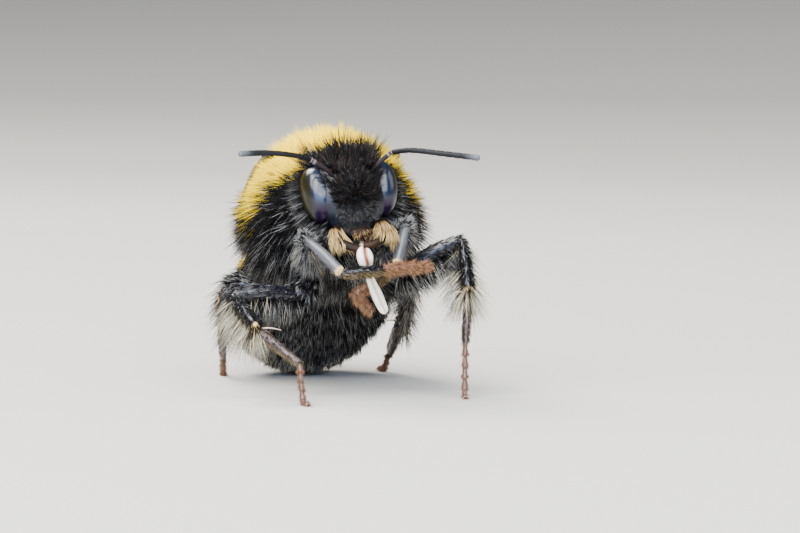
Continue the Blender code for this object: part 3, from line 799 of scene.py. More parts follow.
def headSkin(u, v):  # its surface in every direction
    return inHead(headSurface(ballWays(np.asarray(u, float), np.asarray(v, float))))


def eyeLocal(q):  # head axes to an eye's own axes, with the eye's side folded to positive
    h = head
    side = np.abs(q[:, 0])
    a = math.radians(h["eyeLean"])
    x, y, z = side - h["eyeAt"][0], q[:, 1] - h["eyeAt"][1], q[:, 2] - h["eyeAt"][2]
    return np.stack((x * math.cos(a) - y * math.sin(a), x * math.sin(a) + y * math.cos(a), z), -1)


# Feelers: a bent rod from the face, then a whip of ten short joints; points in head axes, as
# on the left
feelers = {
    "scape": ((0.82, 0.36, 1.1), (1.5, 0.98, 1.56), (2.22, 1.44, 1.79)),
    "left": ((2.3, 1.49, 1.82), (3.3, 1.28, 2.45), (4.9, 0.66, 3.2), (6.62, 0.01, 3.9)),
    "right": ((2.3, 1.49, 1.82), (3.3, 1.66, 2.35), (4.9, 1.68, 3.15), (6.7, 1.51, 4.0)),
    "scapeRadius": 0.12, "knobRadius": 0.15, "radius": 0.16, "joints": 10,
}


def outsideEye(q):  # above 1 outside the eyes
    return (np.abs(eyeLocal(q) / head["eyeHalf"]) ** head["eyeSquareness"]).sum(-1)


def headWhere(p, n):
    q, h = toHead(p), head
    x, y, z = np.abs(q[:, 0]), q[:, 1], q[:, 2]
    rimmed = (z > 0.3) * blendStep(-y, -0.75, 0.7)  # a bare strip beside the eye
    keep = blendStep(outsideEye(q), 1.12 + 0.4 * rimmed, 1.3 + 1.1 * rimmed)
    keep *= blendStep(np.hypot(x - h["socket"][0], y - h["socket"][1]), 0.2, 0.38)
    for ox, oy in h["ocelli"]:
        keep *= 1 - ((np.hypot(q[:, 0] - ox, y - oy) < 0.2) & (z > 0))
    start, end = np.array(feelers["scape"])[[0, 2], :2]  # bare beneath a feeler's first part
    run, beside = end - start, np.stack((x, y), -1) - start
    off = np.linalg.norm(beside - np.clip(beside @ run / (run @ run), 0, 1)[:, None] * run, axis=1)
    keep *= 1 - 0.85 * (z > 0.2) * blendStep(-off, -0.42, -0.2)
    keep *= 1 - 0.93 * (z > 0.1) * blendStep(x, 0.86, 1.02) * blendStep(-y, 0.7, 1.2)  # cheeks
    keep *= 1 - 0.95 * ((z > 0) & (y < -1.95))  # the shield's lower edge
    keep *= 1 - 0.45 * (z > 0.3) * blendStep(-y, 0.8, 1.1)  # thin on the shield
    keep *= 1 - 0.65 * blendStep(y, 1.3, 1.75) * (z > -0.6)  # and on the crown
    keep *= 1 - 0.95 * ((z < -0.75) & (np.hypot(q[:, 0], y) < 1.3))  # bare at the neck
    return keep * (0.75 + 0.8 * (z > 0.2))


def headLength(p, n):  # short on the face and its shield, longer to the crown and behind
    q = toHead(p)
    y, z = q[:, 1], q[:, 2]
    front = blendStep(z, -0.1, 0.5)
    onFace = (0.34 + 0.34 * blendStep(y, -1.3, 0.3) + 0.6 * blendStep(y, 0.7, 1.7)
              + 0.28 * bell(y, -1.05, 0.4))
    behind = 0.95 + 0.35 * blendStep(y, 0.5, 1.8)
    crown = blendStep(y, 0.6, 1.3)  # a few long hairs stand out of the short ones
    corner = 0.55 * blendStep(np.abs(q[:, 0]), 0.25, 1.5) * crown
    uneven = 1 + crown * (1.5 * rng.uniform(0, 1, len(y)) ** 4 - 0.5)
    return (onFace * front + behind * (1 - front)) * (1 - corner) * uneven


def headLie(p, n):
    # up and outwards over the face, down over its shield, back and down behind the eyes
    q = toHead(p)
    x, y, z = q.T
    front = blendStep(z, -0.1, 0.5)[:, None]
    parting = y + 0.9 - 0.45 * bell(y, -0.8, 0.3)
    onFace = unit(np.stack((0.9 * x, parting, 0.35 + 0 * x), -1))
    behind = unit(np.stack((0.7 * np.sign(x), -0.5 + 1.1 * blendStep(y, 0.2, 1.6), -0.45 + 0 * x),
                           -1))
    return (onFace * front + behind * (1 - front)) @ headAxes


def headMarks(p, n):  # silver behind the eyes and on the shield
    q = toHead(p)
    x, y, z = np.abs(q[:, 0]), q[:, 1], q[:, 2]
    behind = blendStep(-z, -0.35, 0.1) * blendStep(-y, -1.3, -0.4)
    shield = (z > 0.3) * blendStep(-y, 0.95, 1.5)
    silver = someOf(len(x), 0.05 + 0.4 * behind + 0.65 * shield, 0.2)
    silver = silver * (0.25 + 0.75 * behind + 0.2 * shield)
    return {"silver": silver, "rust": 0.08 * someOf(len(x), 0.1) * (z > 0.3)}


def headWidth(p, n):  # finer on the shield
    return 0.038 * (1 - 0.4 * (toHead(p)[:, 1] < -0.8))


def ruffWhere(p, n):  # behind the eyes
    x, y, z = toHead(p).T
    return (blendStep(np.abs(x), 1.3, 1.8) * blendStep(-z, 0.15, 0.4) * blendStep(z, -1.15, -0.9)
            * blendStep(2.2 - np.abs(y), 0, 0.4))


def ruffLie(p, n):
    x, y, _ = toHead(p).T
    return unit(np.stack((np.sign(x), 0.25 * y - 0.45, -0.1 + 0 * x), -1)) @ headAxes


def ruffMarks(p, n):
    low = blendStep(-toHead(p)[:, 1], -1.4, 0.2)
    return {"silver": 0.8 * someOf(len(p), 0.4, 0.2) * low}


def fanWhere(p, n):  # round the crown, more at its corners
    q = toHead(p)
    x, y, z = q.T
    return (blendStep(-z, -0.15, 0.2) * blendStep(z, -0.95, -0.7) * blendStep(y, 0.1, 0.8)
            * blendStep(outsideEye(q), 1.1, 1.3) * (0.6 + blendStep(np.abs(x), 0.8, 1.4)))


def fanLength(p, n):
    return (0.6 + 1.1 * rng.uniform(0, 1, len(p)) ** 1.4) * (
        1 + 0.25 * blendStep(np.abs(toHead(p)[:, 0]), 0.8, 1.6))


def fanLie(p, n):
    x, y, _ = toHead(p).T
    return unit(np.stack((0.9 * x, y, -0.3 + 0 * x), -1)) @ headAxes


headCoats = (  # the coat itself, a ruff behind the eyes, and long hairs fanned over the collar
    {"count": 12500, "width": headWidth, "where": headWhere, "length": headLength,
     "lie": headLie, "stand": 0.5, "bend": 0.3, "curl": 0.12, "gather": 0.6, "perTuft": 7,
     "tuftWidth": 0.09, "tuftLean": 0.3, "marks": headMarks},
    {"count": 3200, "width": 0.03, "where": ruffWhere, "length": 1.2, "lie": ruffLie,
     "stand": 0.45, "bend": 0.25, "curl": 0.1, "perTuft": 5, "tuftWidth": 0.07,
     "marks": ruffMarks},
    {"count": 3600, "width": 0.024, "where": fanWhere, "length": fanLength, "lie": fanLie,
     "stand": 0.3, "bend": 0.2, "curl": 0.1, "perTuft": 4, "tuftWidth": 0.07, "gather": 0.1,
     "marks": lambda p, n: {"silver": someOf(len(p), 0.05)}},
)


def makeHead():
    skinPiece("head_skin", headSkin, 110, 140, faceShell, lambda p: {}, "coat_black", "head")
    coatPiece("coat_head", [growHairs(headSkin, look) for look in headCoats])


makeHead()
print("head made")


def eyeMaterial():
    # olive at the outer side; a painted blue reflection on the inner side and a painted violet
    # reflection low down, under a clear gloss
    made, tree, shader = newMaterial("eye")
    cells = addNode(tree, "ShaderNodeTexVoronoi", {"Vector": placeOf(tree), "Scale": 26000.0})
    facets = cells.outputs["Distance"]
    inner, low = markOf(tree, "inner"), markOf(tree, "low")
    # painted reflections: blue on the inner side, violet low down
    colour = mixColour(tree, inner, (0.013, 0.0105, 0.0018), (0.004, 0.009, 0.026))
    colour = mixColour(tree, low, colour, (0.01, 0.002, 0.017))
    coat = reckon(tree, "MULTIPLY", spread(tree, inner, 0, 1, 0.15, 1),
                  spread(tree, low, 0.2, 1, 1, 0.3))
    colour = shaded(tree, colour, spread(tree, facets, 0.0, 0.6, 1.15, 0.75))
    setShader(tree, shader, Base_Color=colour, Roughness=0.3, Specular_IOR_Level=0.1,
              Coat_Weight=coat, Coat_Roughness=0.2,
              Normal=raisedBy(tree, facets, 0.12, 0.000006, invert=True))
    return made


eyeLook = eyeMaterial()


def eyeMarks(points):  # the inner part of the lens and the lower half of that, which carry the painted blue and violet reflections and set the gloss
    q = toHead(points)
    inner = blendStep(-np.abs(q[:, 0]) + 0.25 * q[:, 2], -2.42, -1.8)
    return {"inner": inner, "low": blendStep(-q[:, 1], 0.5, 1.3) * inner}


def eyeSkin(side):
    # a rounded box, turned by its lean and drawn in a little at the inner rim
    h = head
    lean = math.radians(h["eyeLean"])

    def skin(u, v):
        q = superBall(ballWays(u, v), np.array(h["eyeHalf"]), h["eyeSquareness"])
        q[:, 0] -= 0.1 * bell(q[:, 1], 0.1, 0.6) * (q[:, 0] < 0)
        x = q[:, 0] * math.cos(lean) + q[:, 1] * math.sin(lean)
        y = q[:, 1] * math.cos(lean) - q[:, 0] * math.sin(lean)
        return inHead(mirrored(np.stack((x, y, q[:, 2]), -1) + h["eyeAt"], side))
    return skin


def makeEyes():
    for word, side in sides.items():
        skinPiece(f"eye_{word}_lens", eyeSkin(side), 60, 72, eyeLook, eyeMarks, "eye",
                  f"eye_{word}")


def makeOcelli():
    # three small glossy domes on the crown, set on the skin found along their own directions
    h, shells = head, []
    fine = headSurface(ballWays(*[a.ravel() for a in np.meshgrid(
        np.linspace(0.02, 0.98, 160), np.linspace(0, 1, 240), indexing="ij")]))
    fine = fine[fine[:, 2] > 0]
    for x, y in h["ocelli"]:
        near = np.argsort(np.hypot(fine[:, 0] - x, fine[:, 1] - y))[:6]
        middle = fine[near].mean(0)
        turn = np.linspace(0.05, math.pi - 0.05, 12)[:, None]
        angle = (np.arange(16) * 2 * math.pi / 16)[None]
        ball = np.stack((np.cos(turn) + 0 * angle, np.sin(turn) * np.cos(angle),
                         np.sin(turn) * np.sin(angle)), -1) * h["ocellusRadius"]
        # the domes take a little of the eyes' painted blue reflection
        shells.append((inHead(ball + middle), {"inner": 0.3, "low": 0.0}))
    shellPiece("ocelli", shells, eyeLook, "eye")


makeEyes()
makeOcelli()
print("eyes made")


def whipShape(s):  # a little wider to the tip, and narrow where two joints meet
    at = s * feelers["joints"] % 1
    return (0.9 + 0.16 * s) * (1 - 0.2 * bell(np.minimum(at, 1 - at), 0, 0.05))


def makeFeelers():
    f = feelers
    # the pale tone is a painted glint for the feelers' elbows
    shell = shellMaterial("feelerShell", (0.002, 0.0018, 0.002), (0.006, 0.0055, 0.006), 0.34,
                          bump=0.15, pits=16000.0, shine=0.13, greyed=(0.22, 0.24, 0.26),
                          dusky=(0.016, 0.01, 0.012), pale=(0.34, 0.28, 0.28))
    for word, side in sides.items():
        rod = limbSkin(inHead(mirrored(f["scape"], side)), f["scapeRadius"], f["scapeRadius"],
                       (0, 0, 1), shape=lambda s: 0.78 + 0.42 * s + 0.35 * bell(s, 0.0, 0.06),
                       cap=0.05)
        end, begin = inHead(mirrored(f["scape"][-1:] + f[word][:1], side))
        knob = limbSkin((end * 1.3 - begin * 0.3, begin * 1.6 - end * 0.6), f["knobRadius"],
                        f["knobRadius"], (0, 0, 1), cap=0.4)
        # painted glints at the elbow, on the rod's end and on the knob
        shellPiece(f"scape_{word}_shell", [
            limbShell(rod, 30, 14, dusky=0.8, pale=lambda u, v: 0.4 * bell(u, 0.93, 0.035)),
            limbShell(knob, 12, 14, dusky=0.5, pale=lambda u, v: 0.6 * bell(u, 0.5, 0.14)),
        ], shell, "shell_black", f"scape_{word}")
        whip = limbSkin(inHead(mirrored(f[word], side)), f["radius"], f["radius"], (0, 0, 1),
                        shape=whipShape, cap=0.025, count=301)
        grey = limbShell(whip, 180, 14, greyed=lambda u, v: 0.4 * blendStep(u, 0.8, 1.0)
                         + 0.03 * blendStep(u, 0, 0.5))
        shellPiece(f"flagellum_{word}_shell", [grey], shell, "shell_black", f"flagellum_{word}")


makeFeelers()
print("feelers made")


# Mouth: lip, crossing jaws with their straw locks, and the long split tongue; head axes
mouth = {
    "lip": ((0, -2.48, 1.28), (0, -2.8, 1.45), (0, -3.12, 1.42)), "lipHalf": (0.66, 0.12),
    "jaw": ((1.12, -2.05, 0.85), (1.3, -2.65, 1.15), (1.12, -3.25, 1.4), (0.5, -3.62, 1.52),
            (-0.12, -3.68, 1.5)), "jawHalf": (0.3, 0.17),
    "jawCross": (0, 0.05, 0.09),  # the left jaw's shift, the other way on the right, to cross
    "tongue": ((0.15, -3.15, 0.75), (-0.1, -3.9, 1.45), (-0.1, -4.5, 1.5), (0.2, -5.2, 0.6),
               (0.7, -6.4, -0.1), (0.98, -7.05, -0.35)), "tongueHalf": (0.3, 0.2),
    "groove": 0.25,  # where round the tongue its groove runs
    "lockHairs": 250, "lockLength": 1.35,
}


lipFringe = {
    "count": 200, "width": 0.026, "length": 0.32, "perTuft": 4, "tuftWidth": 0.05, "stand": 0.3,
    "where": lambda p, n: blendStep(n @ headAxes[2], 0, 0.5) + 0.1,
    "lie": lambda p, n: unit((0, -1, 0.25) + 0.3 * np.sign(toHead(p)) * (1, 0, 0)) @ headAxes,
    "marks": lambda p, n: {"gold": 0.7 * someOf(len(p), 0.3), "rust": 0.1},
}


def makeLip(horn):
    lip = limbSkin(inHead(mouth["lip"]), *mouth["lipHalf"], headAxes[2], cap=0.3,
                   shape=lambda s: 1 - 0.25 * s)
    shellPiece("labrum_plate", [limbShell(lip, 20, 24, ruddy=lambda u, v: 0.05 * u)], horn,
               "jaw_amber", "labrum")
    return growHairs(lip, lipFringe)


def makeJaw(word, side, horn):
    path = mirrored(mouth["jaw"], side) + side * np.array(mouth["jawCross"])
    jaw = limbSkin(inHead(path), *mouth["jawHalf"], headAxes[2], cap=0.12,
                   shape=lambda s: 1.05 - 0.55 * s ** 1.5 - 0.1 * bell(s, 0.35, 0.2))
    shellPiece(f"mandible_{word}_blade",
               [limbShell(jaw, 44, 20, ruddy=lambda u, v: 0.07 * bell(u, 0.85, 0.14))],
               horn, "jaw_amber", f"mandible_{word}")

    def outer(p, n):  # the upper part of the jaw, on its front and outer faces
        way = n @ headAxes.T
        return (blendStep(toHead(p)[:, 1], -2.95, -2.5)
                * blendStep(way[:, 2] + 0.5 * way[:, 0] * side, -0.1, 0.3))

    def fan(p, n):  # spreads down and to both sides
        across = side * rng.uniform(-0.2, 0.5, len(p))
        out = rng.uniform(0.0, 0.4, len(p))
        return unit(np.stack((across, -1 + 0 * across, out), -1)) @ headAxes

    return growHairs(jaw, {
        "count": mouth["lockHairs"], "width": 0.05, "length": mouth["lockLength"], "perTuft": 9,
        "tuftWidth": 0.045, "where": outer, "lie": fan, "stand": 0.2, "bend": 0.34,
        "bendWay": np.array((-0.5 * side, -0.5, -0.4)) @ headAxes, "curl": 0.14,
        "gather": 0.8, "tuftLean": 0.16, "fray": 0.08,
        "marks": lambda p, n: {"gold": rng.uniform(0.35, 1, len(p))}})


def makeTongue():
    ivory = shellMaterial("ivory", (0.8, 0.7, 0.54), (0.9, 0.83, 0.7), 0.3, bump=0.1, coat=0.3,
                          ruddy=(0.2, 0.035, 0.01))
    line, groove = inHead(mouth["tongue"]), mouth["groove"]
    bare = limbSkin(line, *mouth["tongueHalf"], headAxes[2], cap=0.06, count=80,
                    shape=lambda s: 0.66 + 0.85 * bell(s, 0.286, 0.14) + 0.4 * bell(s, 0.8, 0.2))
    spine = smoothPath(line, 200)

    def split(u, v):  # drawn towards its middle along the groove, which parts it in two
        p = bare(u, v)
        middle = spine[np.clip(np.round(np.asarray(u) * 199).astype(int), 0, 199)]
        return middle + (p - middle) * (1 - 0.5 * bell(v, groove, 0.035))[:, None]

    def red(u, v):  # brightest in the groove where the tongue is broad, and at its root
        inside = bell(v, groove, 0.05) * (0.35 + 0.65 * bell(u, 0.262, 0.14))
        return np.minimum(1, 1.5 * inside + 0.6 * blendStep(0.18 - u, 0, 0.12))

    shellPiece("tongue_sheath", [limbShell(split, 140, 40, ruddy=red)], ivory, "tongue",
               "proboscis")


def makeMouth():
    horn = shellMaterial("jawHorn", (0.004, 0.002, 0.0015), (0.01, 0.005, 0.003), 0.3, shine=0.1,
                         ruddy=(0.2, 0.075, 0.02))
    lots = [makeLip(horn)]
    for word, side in sides.items():
        lots.append(makeJaw(word, side, horn))
    coatPiece("coat_jaws", lots)
    makeTongue()


makeMouth()
print("mouth made")


# Abdomen: six overlapping plates from the waist to the tail
abdomen = {
    "waist": (0, -3.9, -0.95), "length": 10.0, "halfWidth": 4.85, "halfHeight": 4.0, "widest": 0.43,
    "waistShare": 0.38, "droop": 0.6, "coatDepth": 0.62,
    "breaks": (0.0, 0.17, 0.34, 0.52, 0.69, 0.84, 1.0), "step": 0.03,
    "yellow": (0.17, 0.34), "white": 0.56,  # shares of the length
    "waver": (0.012, 1.3), "fade": (0.9, 1.8),  # above the waist, where the bands fade out below
    "hairLength": 0.95,
}


def abdomenGirth(share):
    # an ellipse from the waist to the widest place, and a blunter curve behind it
    a = abdomen
    ahead = np.maximum(0, (a["widest"] - share) / a["widest"])
    before = 1 - (1 - a["waistShare"] ** 2) * ahead ** 2
    after = 1 - np.clip((share - a["widest"]) / (1 - a["widest"]), 0, 1) ** 2.3
    return np.where(share < a["widest"], np.sqrt(before), after ** 0.6)


def abdomenSkin(u, v):
    # ellipses along a drooping line; each plate widens to its rear edge, then steps in
    a = abdomen
    share = np.sin(np.asarray(u, float) * math.pi / 2)
    angle = np.asarray(v, float) * 2 * math.pi
    breaks = np.array(a["breaks"])
    plate = np.clip(np.searchsorted(breaks, share, side="right") - 1, 0, len(breaks) - 2)
    part = (share - breaks[plate]) / (breaks[plate + 1] - breaks[plate])
    edge = 1 + a["step"] * (part - blendStep(part, 0.9, 1.0))
    girth = abdomenGirth(share) * edge
    waist = inBody(a["waist"])
    droop = np.radians(a["droop"] * share)[:, None]
    rearward = -forward * np.cos(droop) - upward * np.sin(droop)
    middle = waist + share[:, None] * a["length"] * rearward
    wide, high = a["halfWidth"] - a["coatDepth"], a["halfHeight"] - a["coatDepth"]
    return (middle + sideways * (wide * girth * np.cos(angle))[:, None]
            + upward * (high * girth * np.sin(angle))[:, None])


def abdomenShare(p):  # how far from the waist to the tail
    return (np.asarray(p) - inBody(abdomen["waist"])) @ -forward / abdomen["length"]


def abdomenColours(p):  # how yellow and how white, 0 to 1
    a = abdomen
    far, length = a["waver"]
    share = abdomenShare(p) + far * ripple(p, length)
    upper = blendStep(toBody(p)[:, 2] - a["waist"][2], *a["fade"])
    low, high = a["yellow"]
    yellow = (blendStep(share, low - 0.01, low + 0.02)
              * (1 - blendStep(share, high - 0.02, high + 0.01)))
    white = blendStep(share, a["white"] - 0.02, a["white"] + 0.02)
    return yellow * upper, white * (0.35 + 0.65 * upper)


def abdomenMarks(p, n):  # a hair at a band's edge takes its colour by chance
    yellow, white = abdomenColours(p)
    chance = rng.uniform(0.2, 0.8, len(p))
    yellow, white = (yellow > chance).astype(float), (white > chance).astype(float)
    dark = 1 - np.maximum(yellow, white)
    silver = someOf(len(p), 0.08 + 0.35 * blendStep(-n[:, 2], 0, 0.7)) * dark
    return {"yellow": yellow, "white": white, "silver": silver}


abdomenCoat = {
    "count": 23500, "width": 0.052, "perTuft": 8, "tuftWidth": 0.13,
    "where": lambda p, n: blendStep(abdomenShare(p), 0.03, 0.1) * (1 - 0.35 * (n[:, 2] < -0.4)),
    "length": lambda p, n: abdomen["hairLength"] * (1.1 - 0.4 * blendStep(-n[:, 2], 0, 0.8)),
    "lie": lambda p, n: unit((0, 0, -0.25) - forward + n * (n @ forward)[:, None] * 0.6),
    "stand": lambda p, n: 0.42 - 0.14 * blendStep(-n[:, 2], 0, 0.8),
    "bend": 0.3, "gather": 0.4, "marks": abdomenMarks, "rings": 2,
}


def makeAbdomen():
    skinPiece("abdomen_skin", abdomenSkin, 150, 96, bodySkin,
              lambda p: dict(zip(("yellow", "white"), abdomenColours(p))), "coat_black",
              *[f"abdomen_{k}" for k in range(1, 7)])
    coatPiece("coat_abdomen", [growHairs(abdomenSkin, abdomenCoat)])


makeAbdomen()
print("abdomen made")


# Wings: smoky blades folded over the back like a roof, stiffened by raised veins
wing = {
    "root": (3.95, 1.0, 2.9),  # body axes
    "roof": 38.0, "rise": 1.5,  # slope to the side and towards the tip, degrees
    "bow": 0.75, "close": 1.2,  # the middle bows out, the tip closes in
    "tipFrom": 0.72, "tipShare": 0.28,  # where the round tip starts, and its share of the length
    "frontBulge": 0.22, "rearFullest": 0.62,
    "thickness": 0.035, "veinRadius": (0.075, 0.05),  # from the root, and of the others
    "tegulaFromRoot": (-0.35, 0.6, -0.4), "tegulaHalf": (0.42, 0.22),
    "fore": {"length": 14.63, "chord": 4.3, "drop": 0.0, "inset": 0.0},
    "hind": {"length": 10.6, "chord": 2.9, "drop": 0.5, "inset": 0.75},
    # veins by share of the length, and share of the width from front to rear edge
    "foreVeins": (((0.0, 0.5), (0.1, 0.22), (0.3, 0.06), (0.6, 0.05), (0.8, 0.08), (0.9, 0.2)),
                  ((0.02, 0.5), (0.15, 0.36), (0.3, 0.28), (0.42, 0.3)),
                  ((0.62, 0.05), (0.64, 0.2), (0.72, 0.27), (0.84, 0.2), (0.88, 0.14)),
                  ((0.42, 0.06), (0.46, 0.18), (0.5, 0.32)),
                  ((0.42, 0.3), (0.5, 0.32), (0.6, 0.42), (0.72, 0.42), (0.76, 0.3)),
                  ((0.6, 0.42), (0.63, 0.28), (0.64, 0.2)),
                  ((0.5, 0.32), (0.52, 0.5), (0.62, 0.62), (0.68, 0.55), (0.67, 0.42)),
                  ((0.3, 0.28), (0.36, 0.5), (0.52, 0.5)), ((0.36, 0.5), (0.42, 0.72), (0.5, 0.8)),
                  ((0.03, 0.6), (0.2, 0.66), (0.36, 0.7), (0.42, 0.72))),
    "hindVeins": (((0.0, 0.5), (0.2, 0.15), (0.5, 0.06), (0.75, 0.08)),
                  ((0.02, 0.55), (0.25, 0.42), (0.5, 0.4), (0.7, 0.5)),
                  ((0.05, 0.6), (0.2, 0.7), (0.36, 0.78)), ((0.5, 0.4), (0.55, 0.62), (0.6, 0.75))),
}


def wingAxes(side):  # towards the tip, towards the rear edge, and out of the wing's face
    span = turned(-forward, sideways, wing["rise"])
    roof = math.radians(wing["roof"])
    rear = -side * sideways * math.cos(roof) + np.cross(sideways, span) * math.sin(roof)
    return span, rear, np.cross(span, rear) * side


def wingPlace(side, kind, share, across, lift=0.0):
    # the middle sheet: both edges are half sine waves, and narrow as a circle does at the tip;
    # the sheet bows as a sine of its length and is pleated as a sine of its width
    w = wing[kind]
    span, rear, face = wingAxes(side)
    share, across = np.broadcast_arrays(np.asarray(share, float), np.asarray(across, float))
    beyond = np.clip((share - wing["tipFrom"]) / wing["tipShare"], 0, 1)
    tip = np.sqrt(np.clip(1 - beyond ** 2, 0, 1))
    front = -wing["frontBulge"] * np.sin(math.pi * np.maximum(share, 0) ** 0.8)
    swell = np.sin(np.minimum(1, share / wing["rearFullest"]) * math.pi / 2)
    back = w["chord"] * (0.16 + 0.84 * swell) * (0.45 + 0.55 * tip)
    middle = (front + back) / 2 * (0.75 + 0.25 * tip) + 0.1225 * w["chord"] * (1 - tip)
    half = (back - front) / 2 * np.maximum(0.06, tip)
    bow = -wing["bow"] * np.sin(math.pi * np.minimum(1, np.maximum(share, 0) * 1.1) ** 0.6)
    out = bow + wing["close"] * share + middle + half * (2 * across - 1)
    pleat = 0.05 * np.sin(across * 13) * np.minimum(1, share * 3) * (1 - across * 0.4)
    root = inBody(mirrored(wing["root"], side)) + rear * w["inset"] - face * w["drop"]
    return (root + share[..., None] * span * w["length"] + out[..., None] * rear
            + (pleat + lift)[..., None] * face)


def makeWing(word, side, kind, film, vein):
    share = np.sin(np.linspace(0.03, math.pi / 2 - 0.03, 90))[:, None]
    across = (1 - np.cos(np.linspace(0, math.pi, 37)))[None] / 2
    above = wingPlace(side, kind, share, across, wing["thickness"] / 2)
    under = wingPlace(side, kind, share, across[:, -2:0:-1], -wing["thickness"] / 2)
    points, faces = closedShell(np.concatenate((above, under), axis=1))
    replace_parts(newPiece(f"{kind}wing_{word}_film", points, faces, film),
                f"{kind}wing_{word}")
    shells = []
    for run in wing[f"{kind}Veins"]:
        line = smoothPath(wingPlace(side, kind, *np.array(run).T), 30)
        radius = wing["veinRadius"][0 if run[0][0] < 0.05 else 1]
        rod = limbSkin(line, radius, radius, upward, shape=lambda s: 1.1 - 0.35 * s, cap=0.04)
        shells.append(limbShell(rod, 40, 8))
    shellPiece(f"{kind}wing_{word}_veins", shells, vein, "wing")


def makeTegula(word, side):  # the little shield over the wing's root
    middle = inBody(mirrored(np.add(wing["root"], wing["tegulaFromRoot"]), side))
    shield = limbSkin((middle + forward * 0.55, middle, middle - forward * 0.42),
                      *wing["tegulaHalf"], upward, cap=0.45)
    shellPiece(f"tegula_{word}_shell", [limbShell(shield, 24, 20, ruddy=0.05)], blackShell,
               "shell_black", f"tegula_{word}")


def makeWings():
    film, tree, shader = newMaterial("wingFilm")
    place = placeOf(tree)
    smoke = mixColour(tree, cloudOf(tree, place, 700.0, 3.0), (0.16, 0.11, 0.06), (0.3, 0.23, 0.15))
    setShader(tree, shader, Base_Color=smoke, Roughness=0.22, Alpha=0.38, Coat_Weight=0.3,
              Coat_Roughness=0.15,
              Normal=raisedBy(tree, cloudOf(tree, place, 9000.0), 0.25, 0.00001))
    vein = shellMaterial("wingVein", (0.03, 0.014, 0.006), (0.06, 0.03, 0.014), 0.35, bump=0.1)
    for word, side in sides.items():
        for kind in ("fore", "hind"):
            makeWing(word, side, kind, film, vein)
        makeTegula(word, side)


makeWings()
print("wings made")


# Legs: hip, trochanter, knee, end of the shin, end of the heel joint, bend of the foot and toe
# of each, in millimetres from the floor below the middle of the thorax
legs = {
    "fore_right": ((-1.2, -3.3, 8.6), (-1.9, -4.0, 7.6), (-2.84, -6.6, 8.95), (-1.19, -8.3, 7.15),
                   (0.97, -8.6, 7.3), (2.4, -8.3, 7.4), (3.8, -8.0, 7.4)),
    "fore_left": ((1.2, -3.3, 8.6), (1.9, -4.0, 7.7), (2.96, -6.2, 9.6), (2.15, -7.3, 7.5),
                  (1.15, -6.5, 6.38), (0.2, -6.1, 5.9), (0.92, -6.2, 4.95)),
    "mid_right": ((-1.4, -2.4, 6.7), (-2.7, -3.5, 5.5), (-6.5, -4.4, 5.65), (-5.54, -6.4, 3.97),
                  (-3.45, -8.0, 2.25), (-3.35, -8.5, 0.24), (-3.2, -9.2, 0.16)),
    "mid_left": ((1.6, -2.4, 6.8), (3.2, -3.4, 6.5), (6.45, -4.6, 8.6), (6.6, -5.6, 5.75),
                 (6.25, -6.4, 2.9), (6.1, -6.85, 0.24), (6.0, -7.55, 0.16)),
    "hind_right": ((-1.5, 0.2, 6.1), (-2.5, 0.9, 5.1), (-5.4, 2.2, 6.0), (-5.3, 5.6, 3.2),
                   (-4.9, 7.4, 1.2), (-4.75, 8.2, 0.27), (-4.55, 9.05, 0.16)),
    "hind_left": ((1.5, 0.2, 6.1), (2.5, 0.9, 5.1), (5.4, 2.4, 6.1), (5.4, 5.8, 3.2),
                  (5.1, 7.6, 1.2), (5.0, 8.4, 0.27), (4.9, 9.25, 0.16)),
    # half breadth and half thickness of hip, thigh, shin, heel joint and foot
    "fore": ((0.55, 0.5), (0.44, 0.36), (0.33, 0.3), (0.25, 0.21), (0.21, 0.18)),
    "mid": ((0.6, 0.5), (0.5, 0.4), (0.42, 0.3), (0.24, 0.18), (0.17, 0.14)),
    "hind": ((0.65, 0.55), (0.5, 0.38), (0.82, 0.22), (0.6, 0.18), (0.17, 0.14)),
    "overlap": 0.08,  # how far a part reaches past its joints
    "bow": {"femur": 0.16, "tibia": 0.08},  # how far its middle is raised
    "claw": 0.42, "clawRadius": 0.045, "clawBehind": 0.8,  # claws of the mid and hind feet by share
    "spur": {"fore": 0.5, "mid": 1.25, "hind": 1.25}, "spurRadius": 0.055,
}
footJoint = 0.18  # each little heart's share of the foot
legShapes = {
    "hip": lambda s: 1.0 + 0 * s,
    "femur": lambda s: 0.62 + 0.46 * np.sin(math.pi * s ** 0.75),
    "tibia": lambda s: 0.7 + 0.3 * blendStep(s, 0, 0.6) + 0.1 * bell(s, 0.04, 0.08),
    "basitarsus": lambda s: 0.82 + 0.24 * np.sin(math.pi * s ** 0.8),
    # four little hearts, each wider to its end, and a slim last joint
    "tarsus": lambda s: np.where(
        s < 4 * footJoint, 0.62 + 0.62 * (s / footJoint % 1) ** 0.8
        - 0.35 * blendStep(s / footJoint % 1, 0.85, 1), 0.6 + 0.35 * s),
}
legParts = ("hip", "femur", "tibia", "basitarsus", "tarsus")


def legSkin(part, route, broad, thin):  # a straight part bows a little, the foot bends
    run = unit(route[-1] - route[0])
    thinWay = (0, 1, 0) if abs(run[0]) > 0.6 else (1, 0, 0)
    if part != "tarsus":
        route = np.array((route[0] - run * legs["overlap"], route[-1] + run * legs["overlap"]))
        middle = route.mean(0) + (0, 0, legs["bow"].get(part, 0.0))
        route = np.array((route[0], middle, route[1]))
    return limbSkin(route, broad, thin, thinWay, shape=legShapes[part],
                    cap={"hip": 0.4, "tarsus": 0.04}.get(part, 0.1),
                    count=121 if part == "tarsus" else 41)


def spike(start, way, curl, length, radius):  # a tapering, curved thorn
    start, way, curl = np.asarray(start), unit(way), unit(curl)
    path = (start, start + way * length * 0.5 + curl * length * 0.08,
            start + way * length * 0.85 + curl * length * 0.42)
    return limbSkin(path, radius, radius, np.cross(way, curl), cap=0.06,
                    shape=lambda s: 1.05 - 0.9 * s ** 1.2)


